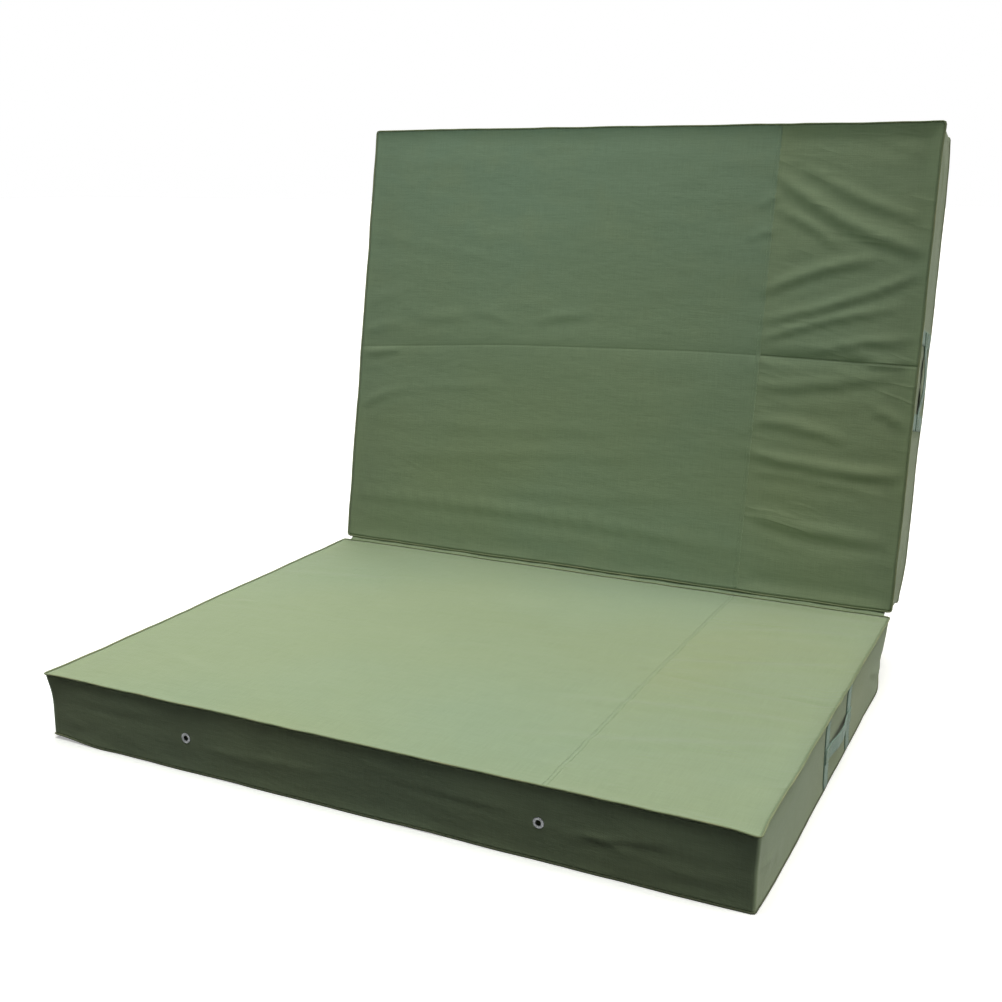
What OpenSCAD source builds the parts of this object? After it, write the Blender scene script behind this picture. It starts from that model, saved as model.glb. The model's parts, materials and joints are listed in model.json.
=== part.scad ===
// Folding gym mat: two thick foam panels in canvas covers, joined along one long edge by a
// cloth hinge strip. The lower panel lies flat, and the upper one is raised behind it.
// Millimetres. The origin is the centre of the lower panel's underside, +X runs along the
// fold, +Y towards the fold and +Z up.

/* [Panels] */
// Width of each panel, along the fold
panel_w = 2000; // [1700:10:2400]
// Depth of each panel, from its fold wall to its free wall
panel_d = 1500; // [1200:10:1800]
// Thickness of each panel, from its underside to its landing face
panel_t = 190; // [150:5:240]

/* [Fold] */
// Angle that the upper panel is raised from lying flat behind the lower one
raise_angle = 79.2; // [0:0.1:175]
// Space between the piping of the two panels at the fold when the mat lies flat
fold_room = 12; // [10:1:40]
// Space between the piping of the two landing faces when the mat is closed
closed_room = 1; // [0.6:0.1:4]
// Thickness of the hinge strip's cloth
strip_t = 1.5; // [0.8:0.1:2]
// Width of each hem that sews the hinge strip to a fold wall
strip_hem = 12; // [8:1:30]
// Distance of the hinge strip below the landing faces
strip_drop = 5; // [4.5:0.5:12]
// How far the hinge strip stops short of each end of the fold
strip_inset = 20; // [5:1:100]
// Gap between the strip's upper hem and the fold wall behind it
strip_clear = 0.3; // [0.2:0.1:1]

/* [Cover] */
// Thickness of the cover cloth
cloth_t = 1.5; // [0.8:0.1:1.7]
// Width of the roll that the cloth is cut from, which places the seam across each face
roll_w = 1500; // [1100:10:1600]
// Diameter of the piping cord in the edge seams
piping_d = 5; // [4:0.5:8]
// How far the edge seam lifts the piping off the cloth
seam_rise = 0.3; // [0.1:0.1:1]

/* [Foam] */
// Distance from the fold wall to the joint between the two foam blocks
foam_joint = 750; // [450:10:1050]

/* [Vents] */
// Distance of the first vent from the panel's left end
vent_left = 475; // [200:5:800]
// Distance of the second vent from the panel's left end
vent_right = 1490; // [1000:5:1650]
// Outer diameter of a vent eyelet
vent_outer_d = 28; // [20:1:40]
// Diameter of the air hole through a vent eyelet
vent_hole_d = 14; // [8:1:16]
// Thickness of the eyelet's outer flange
vent_flange_t = 1.2; // [0.6:0.1:2]
// Wall of the eyelet's barrel
vent_barrel_t = 0.8; // [0.5:0.1:1.5]
// Thickness of the washer inside the cover
vent_washer_t = 1; // [0.6:0.1:2]
// Radial play between the eyelet's barrel and what it passes through
vent_play = 0.1; // [0.05:0.05:0.5]

/* [Handles] */
// Distance from the fold wall to the middle of each handle
handle_from_fold = 720; // [400:10:900]
// Distance between the middles of a handle's two straps
handle_span = 260; // [180:5:360]
// Width of the straps that run up the end wall
strap_w = 50; // [30:1:60]
// Thickness of the straps
strap_t = 2.5; // [1.5:0.1:4]
// Gap between a strap's lower end and the piping
strap_gap = 0.5; // [0.3:0.1:3]
// Width of the grip webbing
grip_w = 38; // [25:1:50]
// Thickness of the grip webbing
grip_t = 2.5; // [1.5:0.1:4]
// How far the middle of the grip bows out from the straps
grip_bow = 14; // [8:1:40]
// Gap between the free grip and its sewn ends
grip_gap = 1; // [0.5:0.1:3]

/* [Zip] */
// Length of the zip in the fold wall
zip_l = 1800; // [1200:10:1900]
// Width of the closed chain
chain_w = 8; // [5:0.5:12]
// Thickness of the closed chain
chain_t = 3; // [2:0.1:4]
// Thickness of the zip tapes
tape_t = 1; // [0.5:0.1:1.5]
// Width of tape that shows on each side of the chain
tape_show = 4; // [3.5:0.5:8]
// Width of tape that is sewn behind the wall
tape_hem = 9; // [6:1:15]
// Length of each end stop
stop_l = 5; // [3:1:10]
// Length of the slider
slider_l = 16; // [10:1:24]
// Wall of the slider
slider_wall = 2; // [1.2:0.1:3]
// Play between the slider and the chain, and between the pull and its ears
slider_play = 0.3; // [0.2:0.1:0.6]
// Length of the pull
pull_l = 32; // [20:1:50]
// Width of the pull
pull_w = 7; // [5:0.5:10]
// Thickness of the pull
pull_t = 2; // [1.5:0.1:3]
// Diameter of the pin that the pull swings on
pin_d = 2; // [1.5:0.1:3]

/* [Hidden] */
$fn = 64;

canvas_green = [0.52, 0.58, 0.45];
piping_green = [0.33, 0.35, 0.22];
webbing_teal = [0.45, 0.56, 0.49];
foam_cream = [0.90, 0.87, 0.76];
vent_grey = [0.62, 0.62, 0.60];
zip_black = [0.12, 0.13, 0.11];
brass_gold = [0.66, 0.56, 0.34];

// A cut runs this far past the faces that it opens
over = 1;

// Piping: the cord's centre lies outside the cover's edge, and its tape fills the edge itself
piping_off = piping_d / 2 - cloth_t + seam_rise;
piping_out = piping_off + piping_d / 2;

// Fold: the two panels are mirror images about the fold axis when the mat lies flat
fold_gap = 2 * piping_out + fold_room;
closed_gap = 2 * piping_out + closed_room;
fold_y = panel_d / 2 + fold_gap / 2;
fold_z = panel_t + closed_gap / 2;

// Cover and foam
mid_z = panel_t / 2;
inner_w = panel_w - 2 * cloth_t;
inner_d = panel_d - 2 * cloth_t;
seam_x = roll_w - panel_w / 2;

// Vents
barrel_d = vent_hole_d + 2 * vent_barrel_t;

// Handles: the grip swings on its upper edge, in line with its sewn ends
grip_x = panel_w / 2 + strap_t + grip_t / 2;
grip_l = handle_span - strap_w - 2 * grip_gap;
grip_r = (pow(grip_l / 2, 2) + pow(grip_bow, 2)) / (2 * grip_bow);

// Zip: depths run inwards from the fold wall's outer face
slot_h = chain_w + 2 * tape_show;
tape_span = slot_h + 2 * tape_hem;
chain_in = cloth_t + tape_t;
chain_out = chain_in - chain_t;
slider_top = chain_out - slider_play - slider_wall;
slider_w = chain_w + 2 * (slider_play + slider_wall);
knuckle_d = pin_d + 2 * slider_play + 2;
pin_y = slider_top - slider_play - knuckle_d / 2;
slider_x = zip_l / 2 - stop_l - slider_l / 2 - slider_play;

// --- Placing: each panel is drawn with its fold wall at y = 0 and its underside at z = 0 ---

module as_lower() {
    translate([0, panel_d / 2, 0]) mirror([0, 1, 0]) children();
}

module as_upper() {
    translate([0, fold_y, fold_z]) rotate([raise_angle, 0, 0])
        translate([0, fold_gap / 2, -fold_z]) children();
}

module on_right() {
    children();
}

module on_left() {
    mirror([1, 0, 0]) children();
}

// --- Foam core ---

module foam_block(from_y, to_y) {
    translate([-inner_w / 2, from_y, cloth_t])
        cube([inner_w, to_y - from_y, panel_t - 2 * cloth_t]);
}

module fold_foam() {
    color(foam_cream) difference() {
        foam_block(cloth_t, foam_joint);
        // Shallow trough that the zip tapes lie in
        translate([-zip_l / 2 - tape_hem - over, 0, mid_z - tape_span / 2 - over])
            cube([zip_l + 2 * tape_hem + 2 * over, chain_in + over, tape_span + 2 * over]);
    }
}

module free_foam() {
    color(foam_cream) difference() {
        foam_block(foam_joint, panel_d - cloth_t);
        at_vents() translate([0, 0, -cloth_t - vent_washer_t - over])
            cylinder(d = vent_outer_d + 2 * over, h = vent_washer_t + 2 * over);
    }
}

// --- Cover ---

module face_cloth(from_x, to_x, at_z) {
    translate([from_x, cloth_t, at_z]) cube([to_x - from_x, inner_d, cloth_t]);
}

module landing_cloth_wide() {
    color(canvas_green) face_cloth(-inner_w / 2, seam_x, panel_t - cloth_t);
}

module landing_cloth_narrow() {
    color(canvas_green) face_cloth(seam_x, inner_w / 2, panel_t - cloth_t);
}

module underside_cloth_wide() {
    color(canvas_green) face_cloth(-inner_w / 2, seam_x, 0);
}

module underside_cloth_narrow() {
    color(canvas_green) face_cloth(seam_x, inner_w / 2, 0);
}

module wall(from_x, to_x, from_y, to_y) {
    translate([from_x, from_y, piping_d])
        cube([to_x - from_x, to_y - from_y, panel_t - cloth_t - piping_d]);
}

module fold_wall() {
    color(canvas_green) difference() {
        wall(-panel_w / 2, panel_w / 2, 0, cloth_t);
        translate([-zip_l / 2, -over, mid_z - slot_h / 2])
            cube([zip_l, cloth_t + 2 * over, slot_h]);
    }
}

module free_wall() {
    color(canvas_green) difference() {
        wall(-panel_w / 2, panel_w / 2, panel_d - cloth_t, panel_d);
        at_vents() translate([0, 0, -cloth_t - over])
            cylinder(d = barrel_d + 2 * vent_play, h = cloth_t + 2 * over);
    }
}

module end_wall() {
    color(canvas_green)
        wall(panel_w / 2 - cloth_t, panel_w / 2, cloth_t, panel_d - cloth_t);
}

// --- Piping: four bars, mitred at the corners of the cover ---

// One bar along X on an edge at y = 0, with its cord at height cord_z and its tape from tape_z up
module piping_bar(length, cord_z, tape_z, tape_h) {
    reach = 2 * piping_d;
    intersection() {
        union() {
            translate([-length / 2 - reach, piping_off, cord_z]) rotate([0, 90, 0])
                cylinder(d = piping_d, h = length + 2 * reach);
            translate([-length / 2 - reach, -cloth_t, tape_z])
                cube([length + 2 * reach, cloth_t, tape_h]);
        }
        translate([0, 0, tape_z - reach]) linear_extrude(tape_h + 3 * reach) polygon([
            [-length / 2 + reach, -reach], [length / 2 - reach, -reach],
            [length / 2 + reach, reach], [-length / 2 - reach, reach]
        ]);
    }
}

module piping_loop(cord_z, tape_z, tape_h) {
    translate([0, panel_d, 0]) piping_bar(panel_w, cord_z, tape_z, tape_h);
    rotate([0, 0, 180]) piping_bar(panel_w, cord_z, tape_z, tape_h);
    for (side = [-1, 1])
        translate([side * panel_w / 2, panel_d / 2, 0]) rotate([0, 0, -90 * side])
            piping_bar(panel_d, cord_z, tape_z, tape_h);
}

module landing_piping() {
    color(piping_green) piping_loop(panel_t + piping_off, panel_t - cloth_t, cloth_t);
}

module underside_piping() {
    color(piping_green) piping_loop(piping_d / 2, 0, piping_d);
}

// --- Vents in the free wall: an eyelet outside, and the washer that it is closed on ---

module at_vents() {
    for (from_left = [vent_left, vent_right])
        translate([from_left - panel_w / 2, panel_d, mid_z]) rotate([-90, 0, 0]) children();
}

module vent_eyelets() {
    depth = cloth_t + vent_washer_t;
    color(vent_grey) at_vents() difference() {
        union() {
            cylinder(d = vent_outer_d, h = vent_flange_t);
            translate([0, 0, -depth]) cylinder(d = barrel_d, h = depth + vent_flange_t);
        }
        translate([0, 0, -depth - over])
            cylinder(d = vent_hole_d, h = depth + vent_flange_t + 2 * over);
    }
}

module vent_washers() {
    color(vent_grey) at_vents() translate([0, 0, -cloth_t - vent_washer_t]) difference() {
        cylinder(d = vent_outer_d, h = vent_washer_t);
        translate([0, 0, -over])
            cylinder(d = barrel_d + 2 * vent_play, h = vent_washer_t + 2 * over);
    }
}

// --- Handles: two straps up the end wall, and a grip between them ---

module handle_straps() {
    color(webbing_teal) for (end = [-1, 1])
        translate([panel_w / 2, handle_from_fold + end * handle_span / 2 - strap_w / 2, 0]) {
            translate([0, 0, piping_d + strap_gap])
                cube([strap_t, strap_w, panel_t - cloth_t - piping_d - strap_gap]);
            // Sewn end of the grip, on top of the strap
            translate([strap_t, 0, mid_z - grip_w / 2]) cube([grip_t, strap_w, grip_w]);
        }
}

module handle_grip() {
    color(webbing_teal) translate([0, handle_from_fold, mid_z - grip_w / 2]) intersection() {
        translate([grip_x + grip_bow - grip_r, 0, 0]) difference() {
            cylinder(r = grip_r + grip_t / 2, h = grip_w);
            translate([0, 0, -over]) cylinder(r = grip_r - grip_t / 2, h = grip_w + 2 * over);
        }
        translate([panel_w / 2, -grip_l / 2, 0])
            cube([strap_t + grip_t + grip_bow + over, grip_l, grip_w]);
    }
}

// --- Zip in the fold wall ---

module zip_tapes() {
    color(zip_black) for (z = [mid_z - tape_span / 2, mid_z + chain_w / 2])
        translate([-zip_l / 2 - tape_hem, cloth_t, z])
            cube([zip_l + 2 * tape_hem, tape_t, tape_show + tape_hem]);
}

module zip_chain() {
    color(zip_black) translate([-zip_l / 2 + stop_l, chain_out, mid_z - chain_w / 2])
        cube([zip_l - 2 * stop_l, chain_t, chain_w]);
}

module zip_stops() {
    color(brass_gold) for (x = [-zip_l / 2, zip_l / 2 - stop_l])
        translate([x, chain_out, mid_z - chain_w / 2]) cube([stop_l, chain_t, chain_w]);
}

module zip_slider() {
    ear_z = pull_w / 2 + slider_play;
    ear_t = slider_w / 2 - ear_z;
    color(brass_gold) translate([slider_x, 0, mid_z]) {
        // Channel that runs over the chain
        difference() {
            translate([-slider_l / 2, slider_top, -slider_w / 2])
                cube([slider_l, cloth_t - slider_play - slider_top, slider_w]);
            translate([-slider_l / 2 - over, slider_top + slider_wall, -chain_w / 2 - slider_play])
                cube([slider_l + 2 * over, chain_t + slider_wall, chain_w + 2 * slider_play]);
        }
        // Ears, and the pin that the pull swings on
        for (z = [-ear_z - ear_t, ear_z])
            translate([-knuckle_d / 2, pin_y - pin_d, z])
                cube([knuckle_d, slider_top - pin_y + pin_d, ear_t]);
        translate([0, pin_y, -slider_w / 2]) cylinder(d = pin_d, h = slider_w);
    }
}

module zip_pull() {
    color(brass_gold) translate([slider_x, pin_y, mid_z - pull_w / 2]) difference() {
        union() {
            cylinder(d = knuckle_d, h = pull_w);
            translate([-pull_l, -pull_t / 2, 0]) cube([pull_l, pull_t, pull_w]);
        }
        translate([0, 0, -over]) cylinder(d = pin_d + 2 * slider_play, h = pull_w + 2 * over);
        // Hole for a cord at the free end
        translate([-pull_l + pull_w / 2, pull_t, pull_w / 2]) rotate([90, 0, 0])
            cylinder(d = pull_w / 2, h = 2 * pull_t);
    }
}

// --- Hinge strip: hemmed to both fold walls, and crossing the fold between them ---

// Depth of the strip's upper face below the fold axis, at both hems, when the mat lies flat
strip_rise = closed_gap / 2 + strip_drop;

// A point beside the fold axis, given flat as distances across and up, after the panel is raised
function raised(across, up) = [
    fold_y + across * cos(raise_angle) - up * sin(raise_angle),
    fold_z + across * sin(raise_angle) + up * cos(raise_angle)
];

module hinge_strip() {
    strip_l = panel_w - 2 * strip_inset;
    near = fold_gap / 2 - strip_clear;
    far = near - strip_t;
    color(canvas_green) translate([-strip_l / 2, 0, 0]) rotate([90, 0, 90])
        linear_extrude(strip_l) polygon([
            // Lower hem, the underside of the crossing, the upper hem, and back along its top
            [panel_d / 2, panel_t - strip_drop - strip_hem],
            [panel_d / 2 + strip_t, panel_t - strip_drop - strip_hem],
            [panel_d / 2 + strip_t, panel_t - strip_drop - strip_t],
            raised(far, -strip_rise - strip_t / 2),
            raised(far, -strip_rise - strip_hem),
            raised(near, -strip_rise - strip_hem),
            raised(near, -strip_rise),
            [panel_d / 2, panel_t - strip_drop]
        ]);
}

as_lower() fold_foam();  // lower_fold_foam
as_lower() free_foam();  // lower_free_foam
as_lower() landing_cloth_wide();  // lower_landing_cloth_wide
as_lower() landing_cloth_narrow();  // lower_landing_cloth_narrow
as_lower() underside_cloth_wide();  // lower_underside_cloth_wide
as_lower() underside_cloth_narrow();  // lower_underside_cloth_narrow
as_lower() fold_wall();  // lower_fold_wall
as_lower() free_wall();  // lower_free_wall
as_lower() on_left() end_wall();  // lower_left_wall
as_lower() on_right() end_wall();  // lower_right_wall
as_lower() landing_piping();  // lower_landing_piping
as_lower() underside_piping();  // lower_underside_piping
as_lower() vent_eyelets();  // lower_vent_eyelets
as_lower() vent_washers();  // lower_vent_washers
as_lower() zip_tapes();  // lower_zip_tapes
as_lower() zip_chain();  // lower_zip_chain
as_lower() zip_stops();  // lower_zip_stops
as_lower() zip_slider();  // lower_zip_slider
as_lower() zip_pull();  // lower_zip_pull
as_lower() on_left() handle_straps();  // lower_left_handle_straps
as_lower() on_right() handle_straps();  // lower_right_handle_straps
as_lower() on_left() handle_grip();  // lower_left_grip
as_lower() on_right() handle_grip();  // lower_right_grip
hinge_strip();
as_upper() fold_foam();  // upper_fold_foam
as_upper() free_foam();  // upper_free_foam
as_upper() landing_cloth_wide();  // upper_landing_cloth_wide
as_upper() landing_cloth_narrow();  // upper_landing_cloth_narrow
as_upper() underside_cloth_wide();  // upper_underside_cloth_wide
as_upper() underside_cloth_narrow();  // upper_underside_cloth_narrow
as_upper() fold_wall();  // upper_fold_wall
as_upper() free_wall();  // upper_free_wall
as_upper() on_left() end_wall();  // upper_left_wall
as_upper() on_right() end_wall();  // upper_right_wall
as_upper() landing_piping();  // upper_landing_piping
as_upper() underside_piping();  // upper_underside_piping
as_upper() vent_eyelets();  // upper_vent_eyelets
as_upper() vent_washers();  // upper_vent_washers
as_upper() zip_tapes();  // upper_zip_tapes
as_upper() zip_chain();  // upper_zip_chain
as_upper() zip_stops();  // upper_zip_stops
as_upper() zip_slider();  // upper_zip_slider
as_upper() zip_pull();  // upper_zip_pull
as_upper() on_left() handle_straps();  // upper_left_handle_straps
as_upper() on_right() handle_straps();  // upper_right_handle_straps
as_upper() on_left() handle_grip();  // upper_left_grip
as_upper() on_right() handle_grip();  // upper_right_grip
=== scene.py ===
"""Looks of a folding gym mat: two foam panels in canvas covers, with piping, webbing handles, zips,
air vents and a cloth hinge strip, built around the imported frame. Lengths are in metres."""

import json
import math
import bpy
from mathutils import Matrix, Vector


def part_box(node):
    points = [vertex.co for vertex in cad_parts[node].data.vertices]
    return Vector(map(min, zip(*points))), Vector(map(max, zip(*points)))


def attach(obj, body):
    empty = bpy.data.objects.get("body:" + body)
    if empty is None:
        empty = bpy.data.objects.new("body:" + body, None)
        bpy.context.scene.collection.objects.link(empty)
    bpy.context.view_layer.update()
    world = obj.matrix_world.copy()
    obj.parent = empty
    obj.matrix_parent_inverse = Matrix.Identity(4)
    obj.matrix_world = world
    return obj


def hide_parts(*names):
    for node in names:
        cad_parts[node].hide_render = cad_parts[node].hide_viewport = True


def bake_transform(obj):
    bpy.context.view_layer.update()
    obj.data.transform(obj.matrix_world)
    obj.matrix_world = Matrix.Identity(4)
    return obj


bl_info = {
    "name": "Folding Gym Mat",
    "version": (1, 0, 0),
    "blender": (4, 5, 0),
    "location": "View3D > Sidebar > Gym Mat",
    "description": "Builds the covers, trim and hardware of a folding gym mat around its frame",
    "category": "Object",
}

import bmesh
import bpy
import numpy as np
from bpy.props import FloatProperty, FloatVectorProperty, PointerProperty, StringProperty
from mathutils import Matrix, Vector, noise

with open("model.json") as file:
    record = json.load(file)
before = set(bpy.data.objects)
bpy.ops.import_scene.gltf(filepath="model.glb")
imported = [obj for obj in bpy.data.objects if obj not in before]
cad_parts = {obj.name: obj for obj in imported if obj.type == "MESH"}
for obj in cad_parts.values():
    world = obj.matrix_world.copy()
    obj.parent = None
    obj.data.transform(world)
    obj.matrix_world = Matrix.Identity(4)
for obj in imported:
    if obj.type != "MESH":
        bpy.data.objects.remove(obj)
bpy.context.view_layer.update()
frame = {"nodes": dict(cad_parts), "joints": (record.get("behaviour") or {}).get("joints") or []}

MM = 0.001

# --- Sizes read from the frame ---

FOLD = next(joint for joint in frame["joints"] if joint["name"] == "fold")
FOLD_AXIS = FOLD["pos_m"]
RAISED = -math.radians(FOLD["range_deg"][0])
WIDTH = 2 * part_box("lower_free_wall")[1].x
DEPTH = 2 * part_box("lower_fold_wall")[1].y
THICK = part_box("lower_landing_cloth_wide")[1].z
SEAM_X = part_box("lower_landing_cloth_wide")[1].x
MID = THICK / 2


def corners(mesh):
    """A mesh's points as a table."""
    co = np.empty(3 * len(mesh.vertices), np.float32)
    mesh.vertices.foreach_get("co", co)
    return co.reshape(-1, 3).astype(float)


class Panel:
    """One panel in its own frame: x along the fold, y from the fold wall, z from the underside."""

    def __init__(self, name, matrix):
        self.name = name
        self.body = f"{name}_panel"
        self.turn = np.array(matrix.to_3x3())
        self.shift = np.array(matrix.translation)
        self.mirrored = matrix.determinant() < 0

    def place(self, points):
        return np.asarray(points, float) @ self.turn.T + self.shift

    def own(self, points):
        """Points of the frame, in the panel's own frame."""
        return (points - self.shift) @ self.turn

    def node(self, part):
        return f"{self.name}_{part}"

    def points(self, part):
        """A CAD node's corners, in the panel's own frame."""
        return self.own(corners(frame["nodes"][self.node(part)].data))

    def box(self, part):
        own = self.points(part)
        return own.min(0), own.max(0)

    def steps(self, part, axis):
        """The different values that a CAD node's corners have on one axis, in order."""
        return np.unique(np.round(self.points(part)[:, axis], 5))


LOWER = Panel("lower", Matrix.Translation((0, DEPTH / 2, 0)) @ Matrix.Scale(-1, 4, (0, 1, 0)))
UPPER = Panel(
    "upper",
    Matrix.Translation(FOLD_AXIS)
    @ Matrix.Rotation(RAISED, 4, "X")
    @ Matrix.Translation((0, FOLD_AXIS[1] - DEPTH / 2, -FOLD_AXIS[2])),
)
PANELS = (LOWER, UPPER)

PIPE_D = LOWER.box("underside_piping")[1][2]
PIPE_OUT = LOWER.box("underside_piping")[1][0] - WIDTH / 2
PIPE_OFF = PIPE_OUT - PIPE_D / 2
FOAM_JOINT = LOWER.box("fold_foam")[1][1]


# --- Mesh and material helpers ---


def linear(value):
    """A hex colour in sRGB as linear red, green, blue and alpha."""
    channels = [int(value[i : i + 2], 16) / 255 for i in (1, 3, 5)]
    return [c / 12.92 if c <= 0.04045 else ((c + 0.055) / 1.055) ** 2.4 for c in channels] + [1.0]


def smooth(value, low, high):
    """0 below low, 1 above high, and a smooth step between."""
    t = np.clip((np.asarray(value, float) - low) / (high - low), 0, 1)
    return t * t * (3 - 2 * t)


def bell(distance, radius):
    return np.exp(-((np.asarray(distance, float) / radius) ** 2))


def ripple(points, scale, seed):
    """Smooth noise from about -1 to 1, with features about scale long."""
    offset = Vector((seed * 3.1, seed * 7.7, seed * 1.3))
    return np.array([noise.noise(Vector(p) / scale + offset) for p in points])


def placed(name, data):
    """A new object in the scene, for this mesh, light or camera."""
    obj = bpy.data.objects.new(name, data)
    bpy.context.scene.collection.objects.link(obj)
    return obj


def build(name, points, faces, finish, panel=None, shade=True):
    """A mesh object from points, which are in the panel's frame if one is given."""
    if panel is not None:
        points = panel.place(points)
        if panel.mirrored:
            faces = [tuple(reversed(face)) for face in faces]
    mesh = bpy.data.meshes.new(name)
    mesh.from_pydata(np.asarray(points).tolist(), [], [tuple(face) for face in faces])
    mesh.update(calc_edges=True)
    mesh.polygons.foreach_set("use_smooth", [shade] * len(mesh.polygons))
    mesh.materials.append(finish)
    return placed(name, mesh)


def frozen(obj):
    """obj with its modifiers made part of its mesh."""
    shown = obj.evaluated_get(bpy.context.evaluated_depsgraph_get())
    mesh = bpy.data.meshes.new_from_object(shown)
    mesh.name = obj.name
    obj.modifiers.clear()
    obj.data = mesh
    return obj


def subdivide(obj):
    """obj with one level of subdivision made part of its mesh."""
    modifier = obj.modifiers.new("subdivide", "SUBSURF")
    modifier.levels = modifier.render_levels = 1
    return frozen(obj)


def put_on(obj, body, slot, *nodes):
    """obj rides on a body and stands for these CAD nodes; slot is not used."""
    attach(obj, body)
    if nodes:
        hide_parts(*nodes)
    return obj


# --- Tables of points ---


def quads_of(table):
    """Quads between the neighbours in a table of point numbers."""
    return np.stack([table[:-1, :-1], table[1:, :-1], table[1:, 1:], table[:-1, 1:]], -1).reshape(-1, 4)


def rim_of(table):
    """The point numbers round the rim of a table, in order."""
    return [*table[:, 0], *table[-1, 1:], *table[-2::-1, -1], *table[0, -2:0:-1]]


def grid_faces(rows, columns, ring=False, closed=False):
    """Quads over rows of points; a ring joins each row's ends, and closed joins the last row to the first."""
    number = np.arange(rows * columns).reshape(rows, columns)
    if ring:
        number = np.concatenate([number, number[:, :1]], 1)
    if closed:
        number = np.concatenate([number, number[:1]])
    return quads_of(number).tolist()


def shell(counts):
    """Point numbers over the surface of a box of cells, -1 inside it, and the cell of each point."""
    cell = np.stack(np.meshgrid(*[np.arange(count + 1) for count in counts], indexing="ij"), -1)
    outer = ((cell == 0) | (cell == counts)).any(-1)
    index = np.full(outer.shape, -1)
    index[outer] = np.arange(outer.sum())
    return index, cell[outer]


# --- Cover: one closed skin for each panel, in cells that a crease or a seam can follow ---

CELLS_X = 112
CELLS_Y = 84
SEAM_COLUMN = round((SEAM_X + WIDTH / 2) / WIDTH * CELLS_X)
CREASE_ROW = round(FOAM_JOINT / DEPTH * CELLS_Y)
# Heights of the rows up the walls, as shares of the thickness, closer together beside the zip
WALL_ROWS = np.array([0, 0.1, 0.2, 0.3, 0.4, 0.455, 0.5, 0.545, 0.6, 0.7, 0.8, 0.9, 1])
CELLS_Z = len(WALL_ROWS) - 1
FACES = ("landing", "underside")
WALLS = ("fold", "free", "left", "right")
SIDES = FACES + WALLS
# The two axes that a side's cloth is measured along
SIDE_AXES = {
    "landing": (0, 1),
    "underside": (0, 1),
    "fold": (0, 2),
    "free": (0, 2),
    "left": (1, 2),
    "right": (1, 2),
}


class Skin:
    """The grid of one cover: points, faces, and which side each face is on."""

    def __init__(self):
        self.index, self.cell = shell((CELLS_X, CELLS_Y, CELLS_Z))
        i, j, k = self.cell.T
        self.flat = np.stack([-WIDTH / 2 + WIDTH * i / CELLS_X, DEPTH * j / CELLS_Y, THICK * WALL_ROWS[k]], 1)
        self.points = self.flat.copy()

    def grid(self, side):
        """Point numbers over one side, as a two-way table along the side's two axes."""
        table = {
            "landing": self.index[:, :, -1],
            "underside": self.index[:, :, 0],
            "fold": self.index[:, 0, :],
            "free": self.index[:, -1, :],
            "left": self.index[0, :, :],
            "right": self.index[-1, :, :],
        }
        return table[side]

    def faces(self):
        """The quads of all sides, turned outwards, and the number of the side that each is on."""
        found, sides = [], []
        for number, side in enumerate(SIDES):
            quads = quads_of(self.grid(side))
            if side in ("underside", "free", "left"):
                quads = quads[:, ::-1]
            found.append(quads)
            sides.append(np.full(len(quads), number))
        return np.concatenate(found), np.concatenate(sides)

    def on(self, *sides):
        """1 for the points on any of these sides, and 0 elsewhere."""
        mask = np.zeros(len(self.points))
        for side in sides:
            mask[self.grid(side).ravel()] = 1
        return mask


NORMALS = {
    "landing": (0, 0, 1),
    "underside": (0, 0, -1),
    "fold": (0, -1, 0),
    "free": (0, 1, 0),
    "left": (-1, 0, 0),
    "right": (1, 0, 0),
}
# How far the cloth may stand proud of each side: the landing faces come close together when the mat
# is closed, and the underside rests on the floor
PROUD = {
    "landing": 3.2 * MM,
    "underside": 0,
    "fold": 3 * MM,
    "free": 6 * MM,
    "left": 5 * MM,
    "right": 5 * MM,
}

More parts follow.
